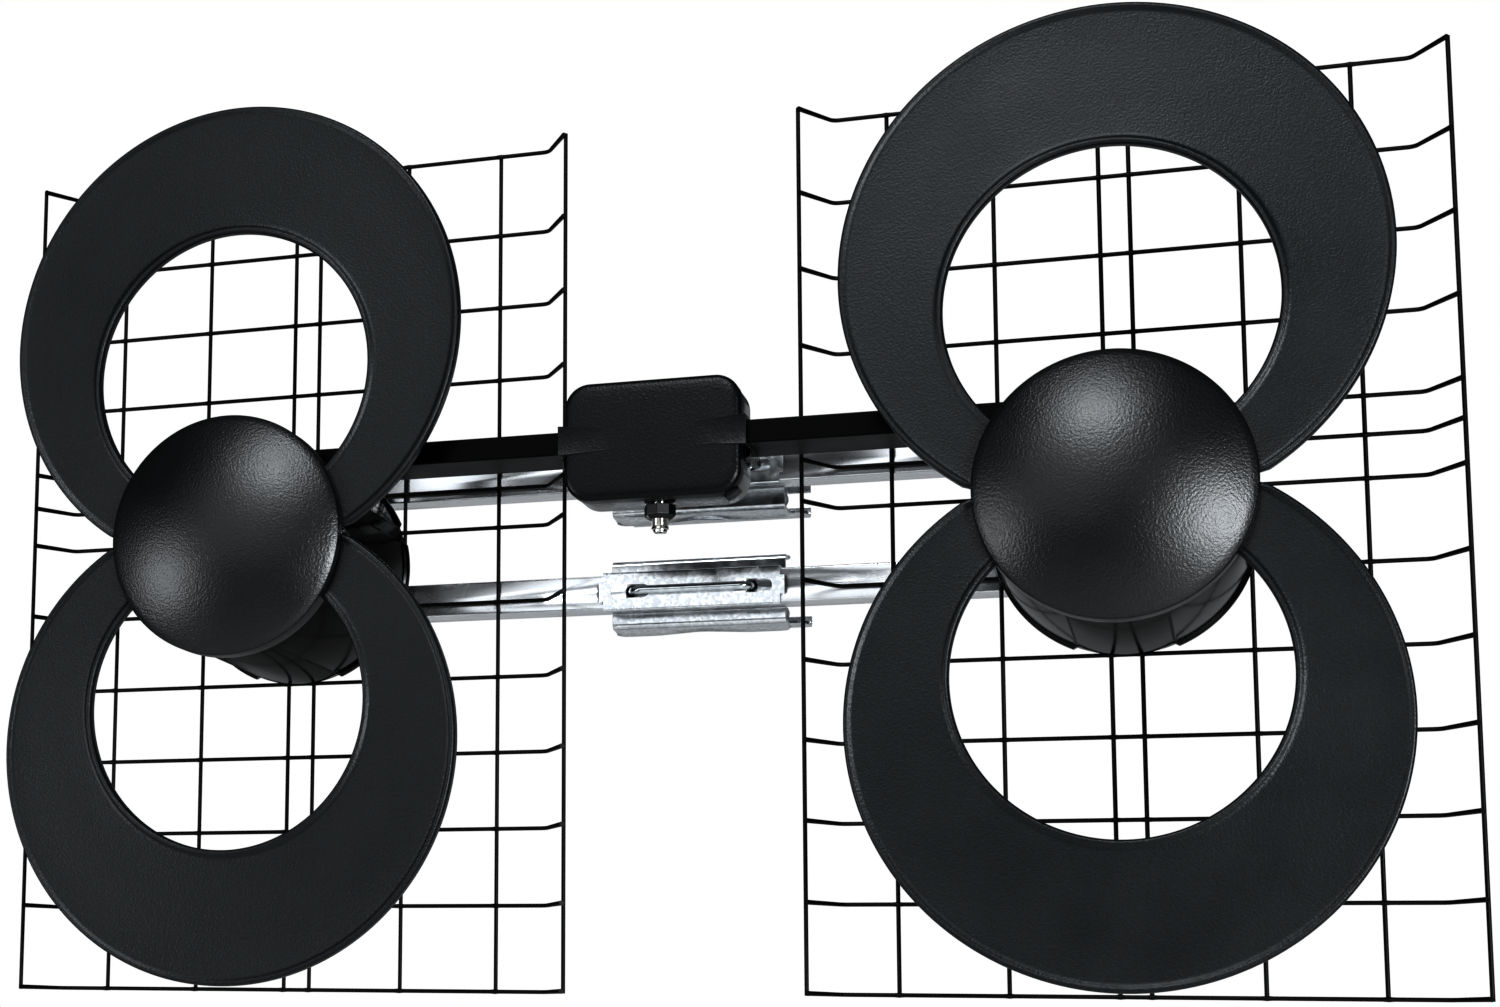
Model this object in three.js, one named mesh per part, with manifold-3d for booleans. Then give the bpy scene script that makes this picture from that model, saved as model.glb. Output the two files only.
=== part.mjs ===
// Four-loop UHF television antenna: two figure-eight radiators in front of two
// flat wire-grid reflectors, a combiner box on a feed bar, two square booms and
// two mast clamps. Millimetres, +Z up, the front faces -Y, +X to the right.
// The group's origin is on the mast axis, midway between the two clamps.
import * as THREE from 'three';
import { mergeVertices } from 'three/addons/utils/BufferGeometryUtils.js';
import Module from 'manifold-3d';

const wasm = await Module();
wasm.setup();

// ---- driving dimensions, array frame: wire mesh plane y = 0, hub height z = 0
const GAP = 0.3; // clearance kept between touching pieces
const ARC = 34; // facets of a large circle

const PANEL_X = 241; // panel centre to array centre
const PANEL_HALF_H = 254; // half height of the wire panel
const WIRE_T = 2.2; // wire thickness
const WIRE_WELD = 0.95; // crossing wires sit this far either side of y = 0
const WIRE_COLUMNS = [8.1, 65.7, 124.8]; // upright wires, both signs
const ROW_PITCH = 45.3;
const EXTRA_ROW_Z = 46.5; // the close-spaced cross wire near the upper boom
const FLANGE_BEND_X = 155.3;
const FLANGE_EDGE_X = 171;
const FLANGE_FORWARD = 24.8;

const LOOP_OUT_R = 136.4;
const LOOP_OUT_Z = 118.6; // outer circle centre above the hub
const LOOP_IN_R = 82.7;
const LOOP_IN_Z = 96.4; // hole centre above the hub
const LOOP_FRONT_Y = -123;
const LOOP_PLATE = 3.5;
const LOOP_BEAD = 1.6; // how far the rolled edges stand proud
const LOOP_BEAD_W = 4.5;
const FEED_GAP = 9; // half width of the cut at the feed point
const LOOP_SPLIT = 2.5; // half the space between an upper and a lower loop

const DOME_R = 69.5;
const DOME_RIM_Y = -129;
const DOME_APEX_Y = -146;
const DOME_BACK_Y = -118;
const DOME_WALL = 2.4;

const DRUM_FRONT_R = 66.4;
const DRUM_BACK_R = 68.4;
const DRUM_FRONT_Y = -117.5;
const DRUM_BACK_Y = -WIRE_WELD - WIRE_T / 2 - GAP;
const DRUM_WALL = 2.4;
const DRUM_FLANGE_R = 70.3;
const DRUM_FLANGE_T = 4;
const FLANGE_NOTCH_HALF = 23; // degrees either side of straight up and down
const CLIP_NOTCH_AT = 18; // degrees above the horizontal
const CLIP_NOTCH_HALF = 5;

const TERMINAL_X = 25; // loop screws, from the hub axis
const TERMINAL_Z = 10;
const LOOP_SCREW_R = 1.7;

const BAR_Z = 46.6;
const BAR_H = 13;
const BAR_FRONT_Y = -100;
const BAR_D = 35;
const BAR_WALL = 1.6;
const BAR_HUB_INSET = 32; // bar end to hub axis
const BAR_BOX_END = 44; // bar end inside the combiner

const BOX_HALF_W = 49;
const BOX_LOW_Z = 12.7;
const BOX_HIGH_Z = 79;
const BOX_CORNER = 14;
const BOX_FRONT_Y = -104;
const BOX_PART_Y = -93; // parting line of cover and shell
const BOX_BACK_Y = -68;
const BOX_WALL = 2;
const EAR_HALF_W = 52.3;
const EAR_LOW_Z = 38.6;
const EAR_HIGH_Z = 55.2;
const BOSS_X = 51.2;
const BOSS_Z = 35.7;
const BOSS_HALF = 2.9;

const SOCKET_Y = -81; // coaxial socket axis
const SOCKET_R = 4.75;
const SOCKET_LOW_Z = -3;
const BOOT_R = 8.9;
const BOOT_LOW_Z = 4.3;

const BOOM = 20; // square tube
const BOOM_WALL = 1.6;
const BOOM_HALF_L = 285;
const BOOM_FRONT_Y = WIRE_WELD + WIRE_T / 2 + GAP;
const BOOM_Z = { upper: 52, lower: -19.4 };
const HUB_SCREW_DZ = { upper: 0, lower: 1.4 };

const ROD_R = 2.45; // U-bolt
const ROD_X = 35.3;
const ROD_BEND = 7;
const ROD_END_Y = 114;

const SADDLE_T = 1.2;
const SADDLE_HALF_L = 52;
const SADDLE_TAB = 2.6;
const SADDLE_LIP = 5;
const SLOT_IN_X = 24.5;
const SLOT_OUT_X = 47.5;
const SLOT_HALF_H = 4;

const JAW_T = 2;
const FRONT_JAW = { halfH: 20.5, halfL: 51.6 };
const REAR_JAW = { halfH: 11.5, halfL: 55 };
const JAW_DEPTH = 20.3;
const JAW_BEND = 3.2;
const JAW_V_DEPTH = 8;
const JAW_V_HALF = 27;
const JAW_SLOT_HALF_H = 6.3;
const JAW_OPEN_SLOT_HALF_H = 4.6;
const JAW_DZ = { upper: -1.5, lower: 1.8 };
const MAST_Y = 60.85; // mast axis behind the wire plane

const NUT_AF = 8;
const NUT_H = 4.2;
const WASHER_R = 5.8;
const WASHER_T = 1.2;
const MAST_Z = (BOOM_Z.upper + BOOM_Z.lower) / 2;

const FINISH = {
  blackPlastic: { color: 0x17191b, roughness: 0.55, metalness: 0 },
  blackPaint: { color: 0x1b1d20, roughness: 0.5, metalness: 0.1 },
  blackWire: { color: 0x0b0b0c, roughness: 0.45, metalness: 0.2 },
  glossBlack: { color: 0x101214, roughness: 0.18, metalness: 0 },
  aluminium: { color: 0xc9ccce, roughness: 0.35, metalness: 1 },
  zinc: { color: 0xb4b9bd, roughness: 0.38, metalness: 1 },
  nickel: { color: 0xc8c9cb, roughness: 0.22, metalness: 1 },
  rubber: { color: 0x0d0d0e, roughness: 0.8, metalness: 0 },
  board: { color: 0x1d5a34, roughness: 0.6, metalness: 0 },
  cable: { color: 0x1a1a1a, roughness: 0.6, metalness: 0 },
};

// ---- solids
function solid(geometry) {
  const g = geometry.clone();
  g.deleteAttribute('normal');
  g.deleteAttribute('uv');
  const merged = mergeVertices(g, 1e-4);
  return new wasm.Manifold(new wasm.Mesh({
    numProp: 3,
    vertProperties: Float32Array.from(merged.attributes.position.array),
    triVerts: Uint32Array.from(merged.index.array),
  }));
}

function box(x0, x1, y0, y1, z0, z1) {
  const g = new THREE.BoxGeometry(x1 - x0, y1 - y0, z1 - z0);
  return solid(g.translate((x0 + x1) / 2, (y0 + y1) / 2, (z0 + z1) / 2));
}

// Cylinder between two points.
function rod(a, b, radius, facets) {
  const from = new THREE.Vector3(...a);
  const axis = new THREE.Vector3(...b).sub(from);
  const g = new THREE.CylinderGeometry(radius, radius, axis.length(), facets);
  const turn = new THREE.Quaternion();
  turn.setFromUnitVectors(new THREE.Vector3(0, 1, 0), axis.clone().normalize());
  g.applyQuaternion(turn);
  return solid(g.translate(...from.addScaledVector(axis, 0.5)));
}

// Closed profile of [radius, y] points turned about the Y axis through x, z.
function turned(points, facets, x = 0, z = 0) {
  const profile = points.map(([r, y]) => new THREE.Vector2(r, y));
  if (points[0][0] > 0 || points[points.length - 1][0] > 0) profile.push(profile[0].clone());
  return solid(new THREE.LatheGeometry(profile, facets).translate(x, 0, z));
}

// The same about the vertical through x, y.
function turnedUpright(points, facets, x, y) {
  const profile = points.map(([r, z]) => new THREE.Vector2(r, z));
  if (points[0][0] > 0 || points[points.length - 1][0] > 0) profile.push(profile[0].clone());
  const g = new THREE.LatheGeometry(profile, facets);
  return solid(g.rotateX(Math.PI / 2).translate(x, y, 0));
}

// Outline in X and Z, given thickness from y0 back to y1.
function plate(shape, y0, y1, facets = 12) {
  const g = new THREE.ExtrudeGeometry(shape, {
    depth: y1 - y0, bevelEnabled: false, curveSegments: facets,
  });
  return solid(g.rotateX(Math.PI / 2).translate(0, y1, 0));
}

function roundedRectangle(x0, x1, z0, z1, r) {
  const s = new THREE.Shape();
  s.moveTo(x0 + r, z0);
  s.lineTo(x1 - r, z0);
  s.absarc(x1 - r, z0 + r, r, -Math.PI / 2, 0, false);
  s.lineTo(x1, z1 - r);
  s.absarc(x1 - r, z1 - r, r, 0, Math.PI / 2, false);
  s.lineTo(x0 + r, z1);
  s.absarc(x0 + r, z1 - r, r, Math.PI / 2, Math.PI, false);
  s.lineTo(x0, z0 + r);
  s.absarc(x0 + r, z0 + r, r, Math.PI, 1.5 * Math.PI, false);
  return s;
}

function union(solids) {
  return solids.reduce((all, next) => all.add(next));
}

function cut(body, tools) {
  return tools.reduce((rest, tool) => rest.subtract(tool), body);
}

function mesh(name, body, finish) {
  const m = body.getMesh();
  const g = new THREE.BufferGeometry();
  g.setAttribute('position', new THREE.BufferAttribute(Float32Array.from(m.vertProperties), 3));
  g.setIndex(new THREE.BufferAttribute(Uint32Array.from(m.triVerts), 1));
  g.computeVertexNormals();
  const part = new THREE.Mesh(g, new THREE.MeshStandardMaterial(FINISH[finish]));
  part.name = name;
  return part;
}

// ---- reflector: one welded wire panel with forward-bent side flanges
function rowHeights() {
  const inner = [0.5, 1.5, 2.5, 3.5, 4.5].map((n) => n * ROW_PITCH);
  const rows = [...inner, PANEL_HALF_H];
  return [...rows, ...rows.map((z) => -z), EXTRA_ROW_Z];
}

// Square stand-in for a round wire, lying flat, between two points in one row.
function crossRun(x0, y0, x1, y1, z) {
  const length = Math.hypot(x1 - x0, y1 - y0);
  const g = new THREE.BoxGeometry(length, WIRE_T, WIRE_T);
  g.rotateZ(Math.atan2(y1 - y0, x1 - x0));
  return solid(g.translate((x0 + x1) / 2, (y0 + y1) / 2, z));
}

function crossWire(x, z) {
  const overlap = WIRE_T / 2;
  const y = -WIRE_WELD;
  const tip = y - FLANGE_FORWARD;
  return union([
    crossRun(x - FLANGE_BEND_X - overlap, y, x + FLANGE_BEND_X + overlap, y, z),
    crossRun(x + FLANGE_BEND_X, y, x + FLANGE_EDGE_X, tip, z),
    crossRun(x - FLANGE_EDGE_X, tip, x - FLANGE_BEND_X, y, z),
  ]);
}

function uprightWire(x, y) {
  const half = WIRE_T / 2;
  const end = PANEL_HALF_H + WIRE_T;
  return box(x - half, x + half, y - half, y + half, -end, end);
}

function reflector(x) {
  const wires = rowHeights().map((z) => crossWire(x, z));
  for (const side of [-1, 1]) {
    for (const column of WIRE_COLUMNS) wires.push(uprightWire(x + side * column, WIRE_WELD));
    const edge = side * (FLANGE_EDGE_X + WIRE_WELD);
    wires.push(uprightWire(x + edge, WIRE_WELD / 2 - FLANGE_FORWARD));
  }
  return union(wires);
}

// ---- tapered loop, C-shaped at the feed point
function ring(x, up, outerR, innerR, y0, y1) {
  const s = new THREE.Shape();
  s.absarc(x, up * LOOP_OUT_Z, outerR, 0, 2 * Math.PI, false);
  const hole = new THREE.Path();
  hole.absarc(x, up * LOOP_IN_Z, innerR, 0, 2 * Math.PI, true);
  s.holes.push(hole);
  return plate(s, y0, y1, ARC / 2);
}

function bead(x, z, inner, outer) {
  const s = new THREE.Shape();
  s.absarc(x, z, outer, 0, 2 * Math.PI, false);
  const hole = new THREE.Path();
  hole.absarc(x, z, inner, 0, 2 * Math.PI, true);
  s.holes.push(hole);
  return plate(s, LOOP_FRONT_Y - LOOP_BEAD, LOOP_FRONT_Y + LOOP_PLATE + LOOP_BEAD, ARC / 2);
}

function feedCut(x, up, grow) {
  const half = FEED_GAP - grow;
  const far = LOOP_IN_Z - LOOP_IN_R + 1;
  return box(x - half, x + half, -140, -100, up > 0 ? -20 : -far, up > 0 ? far : 20);
}

function splitCut(x, up, grow) {
  const edge = LOOP_SPLIT - grow;
  return box(x - 150, x + 150, -140, -100, up > 0 ? -60 : -edge, up > 0 ? edge : 60);
}

function loop(x, up) {
  const back = LOOP_FRONT_Y + LOOP_PLATE;
  const body = union([
    ring(x, up, LOOP_OUT_R - 1, LOOP_IN_R + 1, LOOP_FRONT_Y, back),
    bead(x, up * LOOP_OUT_Z, LOOP_OUT_R - LOOP_BEAD_W, LOOP_OUT_R),
    bead(x, up * LOOP_IN_Z, LOOP_IN_R, LOOP_IN_R + LOOP_BEAD_W),
  ]);
  const holes = [-1, 1].map((side) => rod([x + side * TERMINAL_X, -140, up * TERMINAL_Z],
    [x + side * TERMINAL_X, -100, up * TERMINAL_Z], LOOP_SCREW_R + GAP, 8));
  const flat = turned([[0, -140], [DOME_R - 6, -140], [DOME_R - 6, LOOP_FRONT_Y],
    [0, LOOP_FRONT_Y]], ARC, x, 0);
  const under = turned([[0, back], [DOME_R - 6, back], [DOME_R - 6, -100], [0, -100]], ARC, x, 0);
  return cut(body, [feedCut(x, up, 0), splitCut(x, up, 0), flat, under, ...holes]);
}

// ---- hub: dome, drum, base plate, balun board and their screws
function dome(x) {
  const steps = 5;
  const height = DOME_RIM_Y - DOME_APEX_Y;
  const radius = (DOME_R ** 2 + height ** 2) / (2 * height);
  const cap = (r, inset) => DOME_APEX_Y + inset + radius - Math.sqrt(radius ** 2 - r ** 2);
  const outside = Array.from({ length: steps + 1 }, (_, i) => (i / steps) * DOME_R);
  const inside = Array.from({ length: steps + 1 }, (_, i) => (1 - i / steps)
    * (DOME_R - DOME_WALL));
  const points = [
    ...outside.map((r) => [r, cap(r, 0)]),
    [DOME_R, DOME_BACK_Y],
    [DOME_R - DOME_WALL, DOME_BACK_Y],
    ...inside.map((r) => [r, cap(r, DOME_WALL)]),
  ];
  const slots = [1, -1].map((up) => ring(x, up, LOOP_OUT_R + GAP, LOOP_IN_R - GAP,
    LOOP_FRONT_Y - LOOP_BEAD - GAP, -100).subtract(splitCut(x, up, GAP)));
  return cut(turned(points, ARC, x, 0), slots);
}

function drumNotches(x) {
  const reach = DRUM_FLANGE_R + 4;
  const y0 = DRUM_BACK_Y - DRUM_FLANGE_T - 0.5;
  const sector = (centre, half) => {
    const s = new THREE.Shape();
    s.moveTo(x, 0);
    for (const t of [-half, 0, half]) {
      const a = THREE.MathUtils.degToRad(centre + t);
      s.lineTo(x + reach * Math.cos(a) / Math.cos(THREE.MathUtils.degToRad(half)),
        reach * Math.sin(a) / Math.cos(THREE.MathUtils.degToRad(half)));
    }
    return plate(s, y0, 1);
  };
  const keep = turned([[0, y0 - 1], [DRUM_BACK_R, y0 - 1], [DRUM_BACK_R, 2], [0, 2]], ARC, x, 0);
  return [
    sector(90, FLANGE_NOTCH_HALF),
    sector(270, FLANGE_NOTCH_HALF),
    sector(CLIP_NOTCH_AT, CLIP_NOTCH_HALF),
    sector(180 - CLIP_NOTCH_AT, CLIP_NOTCH_HALF),
  ].map((s) => s.subtract(keep));
}

function barEnvelope(side, grow) {
  return box(Math.min(side * BAR_BOX_END, side * (PANEL_X - BAR_HUB_INSET)) - 8,
    Math.max(side * BAR_BOX_END, side * (PANEL_X - BAR_HUB_INSET)) + 8,
    BAR_FRONT_Y - grow, BAR_FRONT_Y + BAR_D + grow,
    BAR_Z - BAR_H / 2 - grow, BAR_Z + BAR_H / 2 + grow);
}

function terminals(x, radius, y0, y1) {
  const all = [];
  for (const sx of [-1, 1]) {
    for (const sz of [-1, 1]) {
      all.push(rod([x + sx * TERMINAL_X, y0, sz * TERMINAL_Z],
        [x + sx * TERMINAL_X, y1, sz * TERMINAL_Z], radius, 8));
    }
  }
  return all;
}

function drum(x) {
  const flangeY = DRUM_BACK_Y - DRUM_FLANGE_T;
  const skin = turned([
    [0, DRUM_FRONT_Y],
    [DRUM_FRONT_R - 2, DRUM_FRONT_Y],
    [DRUM_FRONT_R, DRUM_FRONT_Y + 3],
    [DRUM_BACK_R, flangeY],
    [DRUM_FLANGE_R, flangeY],
    [DRUM_FLANGE_R, DRUM_BACK_Y],
    [DRUM_BACK_R - DRUM_WALL, DRUM_BACK_Y],
    [DRUM_FRONT_R - DRUM_WALL, DRUM_FRONT_Y + DRUM_WALL],
    [0, DRUM_FRONT_Y + DRUM_WALL],
  ], ARC, x, 0);
  const side = Math.sign(x);
  return cut(skin, [
    ...drumNotches(x),
    barEnvelope(side, GAP),
    ...terminals(x, LOOP_SCREW_R + GAP, DRUM_FRONT_Y - 1, DRUM_FRONT_Y + 4),
  ]);
}

function hubScrewHeight(level) {
  return BOOM_Z[level] + HUB_SCREW_DZ[level];
}

function hubBase(x) {
  const r = DRUM_BACK_R - DRUM_WALL - 0.6;
  const disc = turned([[0, DRUM_BACK_Y - 3], [r, DRUM_BACK_Y - 3], [r, DRUM_BACK_Y],
    [0, DRUM_BACK_Y]], ARC, x, 0);
  const levels = ['upper', 'lower'];
  const bosses = levels.map((l) => rod([x, -26, hubScrewHeight(l)],
    [x, DRUM_BACK_Y - 1, hubScrewHeight(l)], 5, 12));
  const bores = levels.map((l) => rod([x, -23, hubScrewHeight(l)],
    [x, 4, hubScrewHeight(l)], 2.1, 8));
  return cut(union([disc, ...bosses]), bores);
}

function balunBoard(x) {
  const y = DRUM_FRONT_Y + DRUM_WALL + GAP;
  return cut(box(x - 38, x + 38, y, y + 1.6, -18, 18), terminals(x, LOOP_SCREW_R + GAP, y - 1, y + 3));
}

function screwY(x, z, headY, headR, headT, shankR, tipY) {
  const inward = Math.sign(tipY - headY);
  const face = headY - inward * headT;
  const profile = [[0, face], [headR * 0.7, face], [headR, face + inward * headT * 0.45],
    [headR, headY], [shankR, headY], [shankR, tipY], [0, tipY]];
  return turned(inward > 0 ? profile : profile.reverse(), 8, x, z);
}

// ---- feed bar, phasing line and combiner
function feedBar(side) {
  const ends = [side * BAR_BOX_END, side * (PANEL_X - BAR_HUB_INSET)].sort((a, b) => a - b);
  const z0 = BAR_Z - BAR_H / 2;
  const y0 = BAR_FRONT_Y;
  const outer = box(ends[0], ends[1], y0, y0 + BAR_D, z0, z0 + BAR_H);
  return outer.subtract(box(ends[0] - 1, ends[1] + 1, y0 + BAR_WALL, y0 + BAR_D - BAR_WALL,
    z0 + BAR_WALL, z0 + BAR_H - BAR_WALL));
}

function phasingLine(side) {
  const y = BAR_FRONT_Y + BAR_D / 2;
  return rod([side * (BAR_BOX_END - 6), y, BAR_Z],
    [side * (PANEL_X - BAR_HUB_INSET + 6), y, BAR_Z], 2.8, 12);
}

function boxOutline(inset) {
  return roundedRectangle(-BOX_HALF_W + inset, BOX_HALF_W - inset, BOX_LOW_Z + inset,
    BOX_HIGH_Z - inset, BOX_CORNER - inset);
}

function socketHole() {
  return rod([0, SOCKET_Y, BOX_LOW_Z - 2], [0, SOCKET_Y, BOX_LOW_Z + BOX_WALL + 1],
    SOCKET_R + GAP, 20);
}

function frontCover() {
  const y1 = BOX_PART_Y - GAP / 2;
  const face = roundedRectangle(-BOX_HALF_W + 1.6, BOX_HALF_W - 1.6, BOX_LOW_Z + 1.6,
    BOX_HIGH_Z - 1.6, BOX_CORNER - 1.6);
  const body = union([
    plate(boxOutline(0), BOX_FRONT_Y + 1.4, y1, 3),
    plate(face, BOX_FRONT_Y, y1, 3),
    box(-EAR_HALF_W, EAR_HALF_W, BOX_FRONT_Y + 0.6, y1, EAR_LOW_Z, EAR_HIGH_Z),
  ]);
  return cut(body, [
    plate(boxOutline(BOX_WALL), BOX_FRONT_Y + BOX_WALL + 0.4, y1 + 1, 3),
    barEnvelope(-1, GAP),
    barEnvelope(1, GAP),
    socketHole(),
  ]);
}

function rearShell() {
  const y0 = BOX_PART_Y + GAP / 2;
  const pieces = [
    plate(boxOutline(0.4), y0, BOX_BACK_Y - 2, 3),
    plate(boxOutline(1.4), y0, BOX_BACK_Y, 3),
    box(-EAR_HALF_W, EAR_HALF_W, y0, BOX_BACK_Y + 5, EAR_LOW_Z, EAR_HIGH_Z),
  ];
  const bores = [];
  for (const side of [-1, 1]) {
    const x = side * BOSS_X;
    pieces.push(box(x - BOSS_HALF, x + BOSS_HALF, y0, BOX_BACK_Y,
      BOSS_Z - BOSS_HALF, BOSS_Z + BOSS_HALF + 0.5));
    bores.push(rod([x, BOX_BACK_Y - 14, BOSS_Z], [x, BOX_BACK_Y + 1, BOSS_Z], 1.6, 8));
  }
  return cut(union(pieces), [
    plate(boxOutline(BOX_WALL + 0.4), y0 - 1, BOX_BACK_Y - BOX_WALL, 3),
    barEnvelope(-1, GAP),
    barEnvelope(1, GAP),
    socketHole(),
    ...bores,
  ]);
}

function socket() {
  return turnedUpright([
    [1.1, SOCKET_LOW_Z],
    [SOCKET_R - 0.6, SOCKET_LOW_Z],
    [SOCKET_R, SOCKET_LOW_Z + 0.8],
    [SOCKET_R, BOX_LOW_Z + BOX_WALL + 3 * GAP],
    [5.6, BOX_LOW_Z + BOX_WALL + 3 * GAP],
    [5.6, BOX_LOW_Z + BOX_WALL + 2.5],
    [1.1, BOX_LOW_Z + BOX_WALL + 2.5],
  ], 16, 0, SOCKET_Y);
}

function boot() {
  return turnedUpright([
    [SOCKET_R + GAP, BOOT_LOW_Z],
    [BOOT_R - 2.6, BOOT_LOW_Z],
    [BOOT_R, BOOT_LOW_Z + 2.2],
    [BOOT_R, BOX_LOW_Z - GAP],
    [SOCKET_R + GAP, BOX_LOW_Z - GAP],
  ], 16, 0, SOCKET_Y);
}

// ---- booms and mast clamps
function boom(level) {
  const z = BOOM_Z[level];
  const y = BOOM_FRONT_Y;
  const h = BOOM / 2;
  const tube = box(-BOOM_HALF_L, BOOM_HALF_L, y, y + BOOM, z - h, z + h)
    .subtract(box(-BOOM_HALF_L - 1, BOOM_HALF_L + 1, y + BOOM_WALL, y + BOOM - BOOM_WALL,
      z - h + BOOM_WALL, z + h - BOOM_WALL));
  const through = (x, height, r) => rod([x, y - 2, height], [x, y + BOOM + 2, height], r, 10);
  return cut(tube, [-1, 1].flatMap((side) => [
    through(side * ROD_X, z, ROD_R + 1.2),
    through(side * PANEL_X, hubScrewHeight(level), 2.1),
  ]));
}

function slot(x0, x1, z, half, y0, y1) {
  return plate(roundedRectangle(x0, x1, z - half, z + half, half * 0.98), y0, y1, 3);
}

function saddle(level) {
  const z = BOOM_Z[level];
  const y1 = BOOM_FRONT_Y - GAP;
  const y0 = y1 - SADDLE_T;
  const in_ = BOOM / 2 + GAP;
  const out = in_ + SADDLE_T;
  const body = union([
    box(-SADDLE_HALF_L, SADDLE_HALF_L, y0, y1, z - out, z + out),
    box(-SADDLE_HALF_L, SADDLE_HALF_L, y0, y0 + SADDLE_LIP, z + in_, z + out),
    box(-SADDLE_HALF_L, SADDLE_HALF_L, y0, y0 + SADDLE_LIP, z - out, z - in_),
    box(-SADDLE_HALF_L - SADDLE_TAB, SADDLE_HALF_L + SADDLE_TAB, y0, y1, z - 5.6, z + 5.6),
  ]);
  return cut(body, [
    slot(SLOT_IN_X, SLOT_OUT_X, z, SLOT_HALF_H, y0 - 1, y1 + 1),
    slot(-SLOT_OUT_X, -SLOT_IN_X, z, SLOT_HALF_H, y0 - 1, y1 + 1),
  ]);
}

// Channel with V-notched flanges. dir 1: flanges point back, -1: they point forward.
function jaw(size, z, webY, dir, openSlots) {
  const s = new THREE.Shape();
  const h = size.halfH;
  const t = JAW_T;
  const b = JAW_BEND;
  s.moveTo(JAW_DEPTH, -h);
  s.lineTo(JAW_DEPTH, -h + t);
  s.lineTo(b, -h + t);
  s.lineTo(t, -h + b);
  s.lineTo(t, h - b);
  s.lineTo(b, h - t);
  s.lineTo(JAW_DEPTH, h - t);
  s.lineTo(JAW_DEPTH, h);
  s.lineTo(b * 0.7, h);
  s.lineTo(0, h - b * 0.7);
  s.lineTo(0, -h + b * 0.7);
  s.lineTo(b * 0.7, -h);
  const g = new THREE.ExtrudeGeometry(s, { depth: 2 * size.halfL, bevelEnabled: false });
  // shape x -> +Y, shape y -> +Z, depth -> +X
  g.applyMatrix4(new THREE.Matrix4().makeBasis(new THREE.Vector3(0, 1, 0),
    new THREE.Vector3(0, 0, 1), new THREE.Vector3(1, 0, 0)));
  g.translate(-size.halfL, 0, 0);
  let body = solid(g);
  const notch = new THREE.Shape();
  notch.moveTo(-JAW_V_HALF, JAW_DEPTH + 1);
  notch.lineTo(-JAW_V_HALF * 0.12, JAW_DEPTH - JAW_V_DEPTH);
  notch.lineTo(JAW_V_HALF * 0.12, JAW_DEPTH - JAW_V_DEPTH);
  notch.lineTo(JAW_V_HALF, JAW_DEPTH + 1);
  const wedge = solid(new THREE.ExtrudeGeometry(notch, { depth: 60, bevelEnabled: false })
    .translate(0, 0, -30));
  const corners = [-1, 1].map((side) => {
    const c = new THREE.Shape();
    c.moveTo(side * (size.halfL + 1), JAW_DEPTH + 1);
    c.lineTo(side * (size.halfL + 1), JAW_DEPTH - 7);
    c.lineTo(side * (size.halfL - 6), JAW_DEPTH + 1);
    return solid(new THREE.ExtrudeGeometry(c, { depth: 60, bevelEnabled: false })
      .translate(0, 0, -30));
  });
  const half = openSlots ? JAW_OPEN_SLOT_HALF_H : JAW_SLOT_HALF_H;
  const outer = openSlots ? size.halfL + 20 : SLOT_OUT_X - 1;
  body = cut(body, [wedge, ...corners,
    slot(ROD_X - half, outer, 0, half, -1, 5),
    slot(-outer, -ROD_X + half, 0, half, -1, 5)]);
  const placed = new THREE.Matrix4().makeTranslation(0, webY, z);
  if (dir < 0) placed.multiply(new THREE.Matrix4().makeRotationZ(Math.PI));
  return body.transform(placed.elements);
}

function bend(side, y, z) {
  const x = side * (ROD_X - ROD_BEND);
  const section = Array.from({ length: 12 }, (_, i) => {
    const a = -Math.PI / 2 + (i / 12) * 2 * Math.PI;
    return [ROD_BEND + ROD_R * Math.cos(a), z + ROD_R * Math.sin(a)];
  });
  const reach = side * (ROD_BEND + ROD_R + 1);
  return turnedUpright(section, 20, x, y)
    .intersect(box(Math.min(x, x + reach), Math.max(x, x + reach), y - 20, y, z - 5, z + 5));
}

function uBolt(z) {
  const bridgeY = BOOM_FRONT_Y - 2 * GAP - SADDLE_T - ROD_R;
  const y = bridgeY + ROD_BEND;
  const half = ROD_X - ROD_BEND;
  return union([
    rod([-half - 0.1, bridgeY, z], [half + 0.1, bridgeY, z], ROD_R, 12),
    ...[-1, 1].flatMap((side) => [
      bend(side, y, z),
      rod([side * ROD_X, y - 0.1, z], [side * ROD_X, ROD_END_Y, z], ROD_R, 12),
    ]),
  ]);
}

function washer(x, z, y) {
  return turned([[ROD_R + GAP, y], [WASHER_R, y], [WASHER_R, y + WASHER_T],
    [ROD_R + GAP, y + WASHER_T]], 16, x, z);
}

function nut(x, z, y) {
  const across = NUT_AF / Math.sqrt(3);
  return rod([x, y, z], [x, y + NUT_H, z], across, 6)
    .subtract(rod([x, y - 1, z], [x, y + NUT_H + 1, z], ROD_R + GAP, 12));
}

// ---- assembly
const group = new THREE.Group();
group.name = 'four_loop_uhf_antenna';
const array = new THREE.Group();
array.name = 'array';
array.position.set(0, -MAST_Y, -MAST_Z);
group.add(array);

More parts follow.
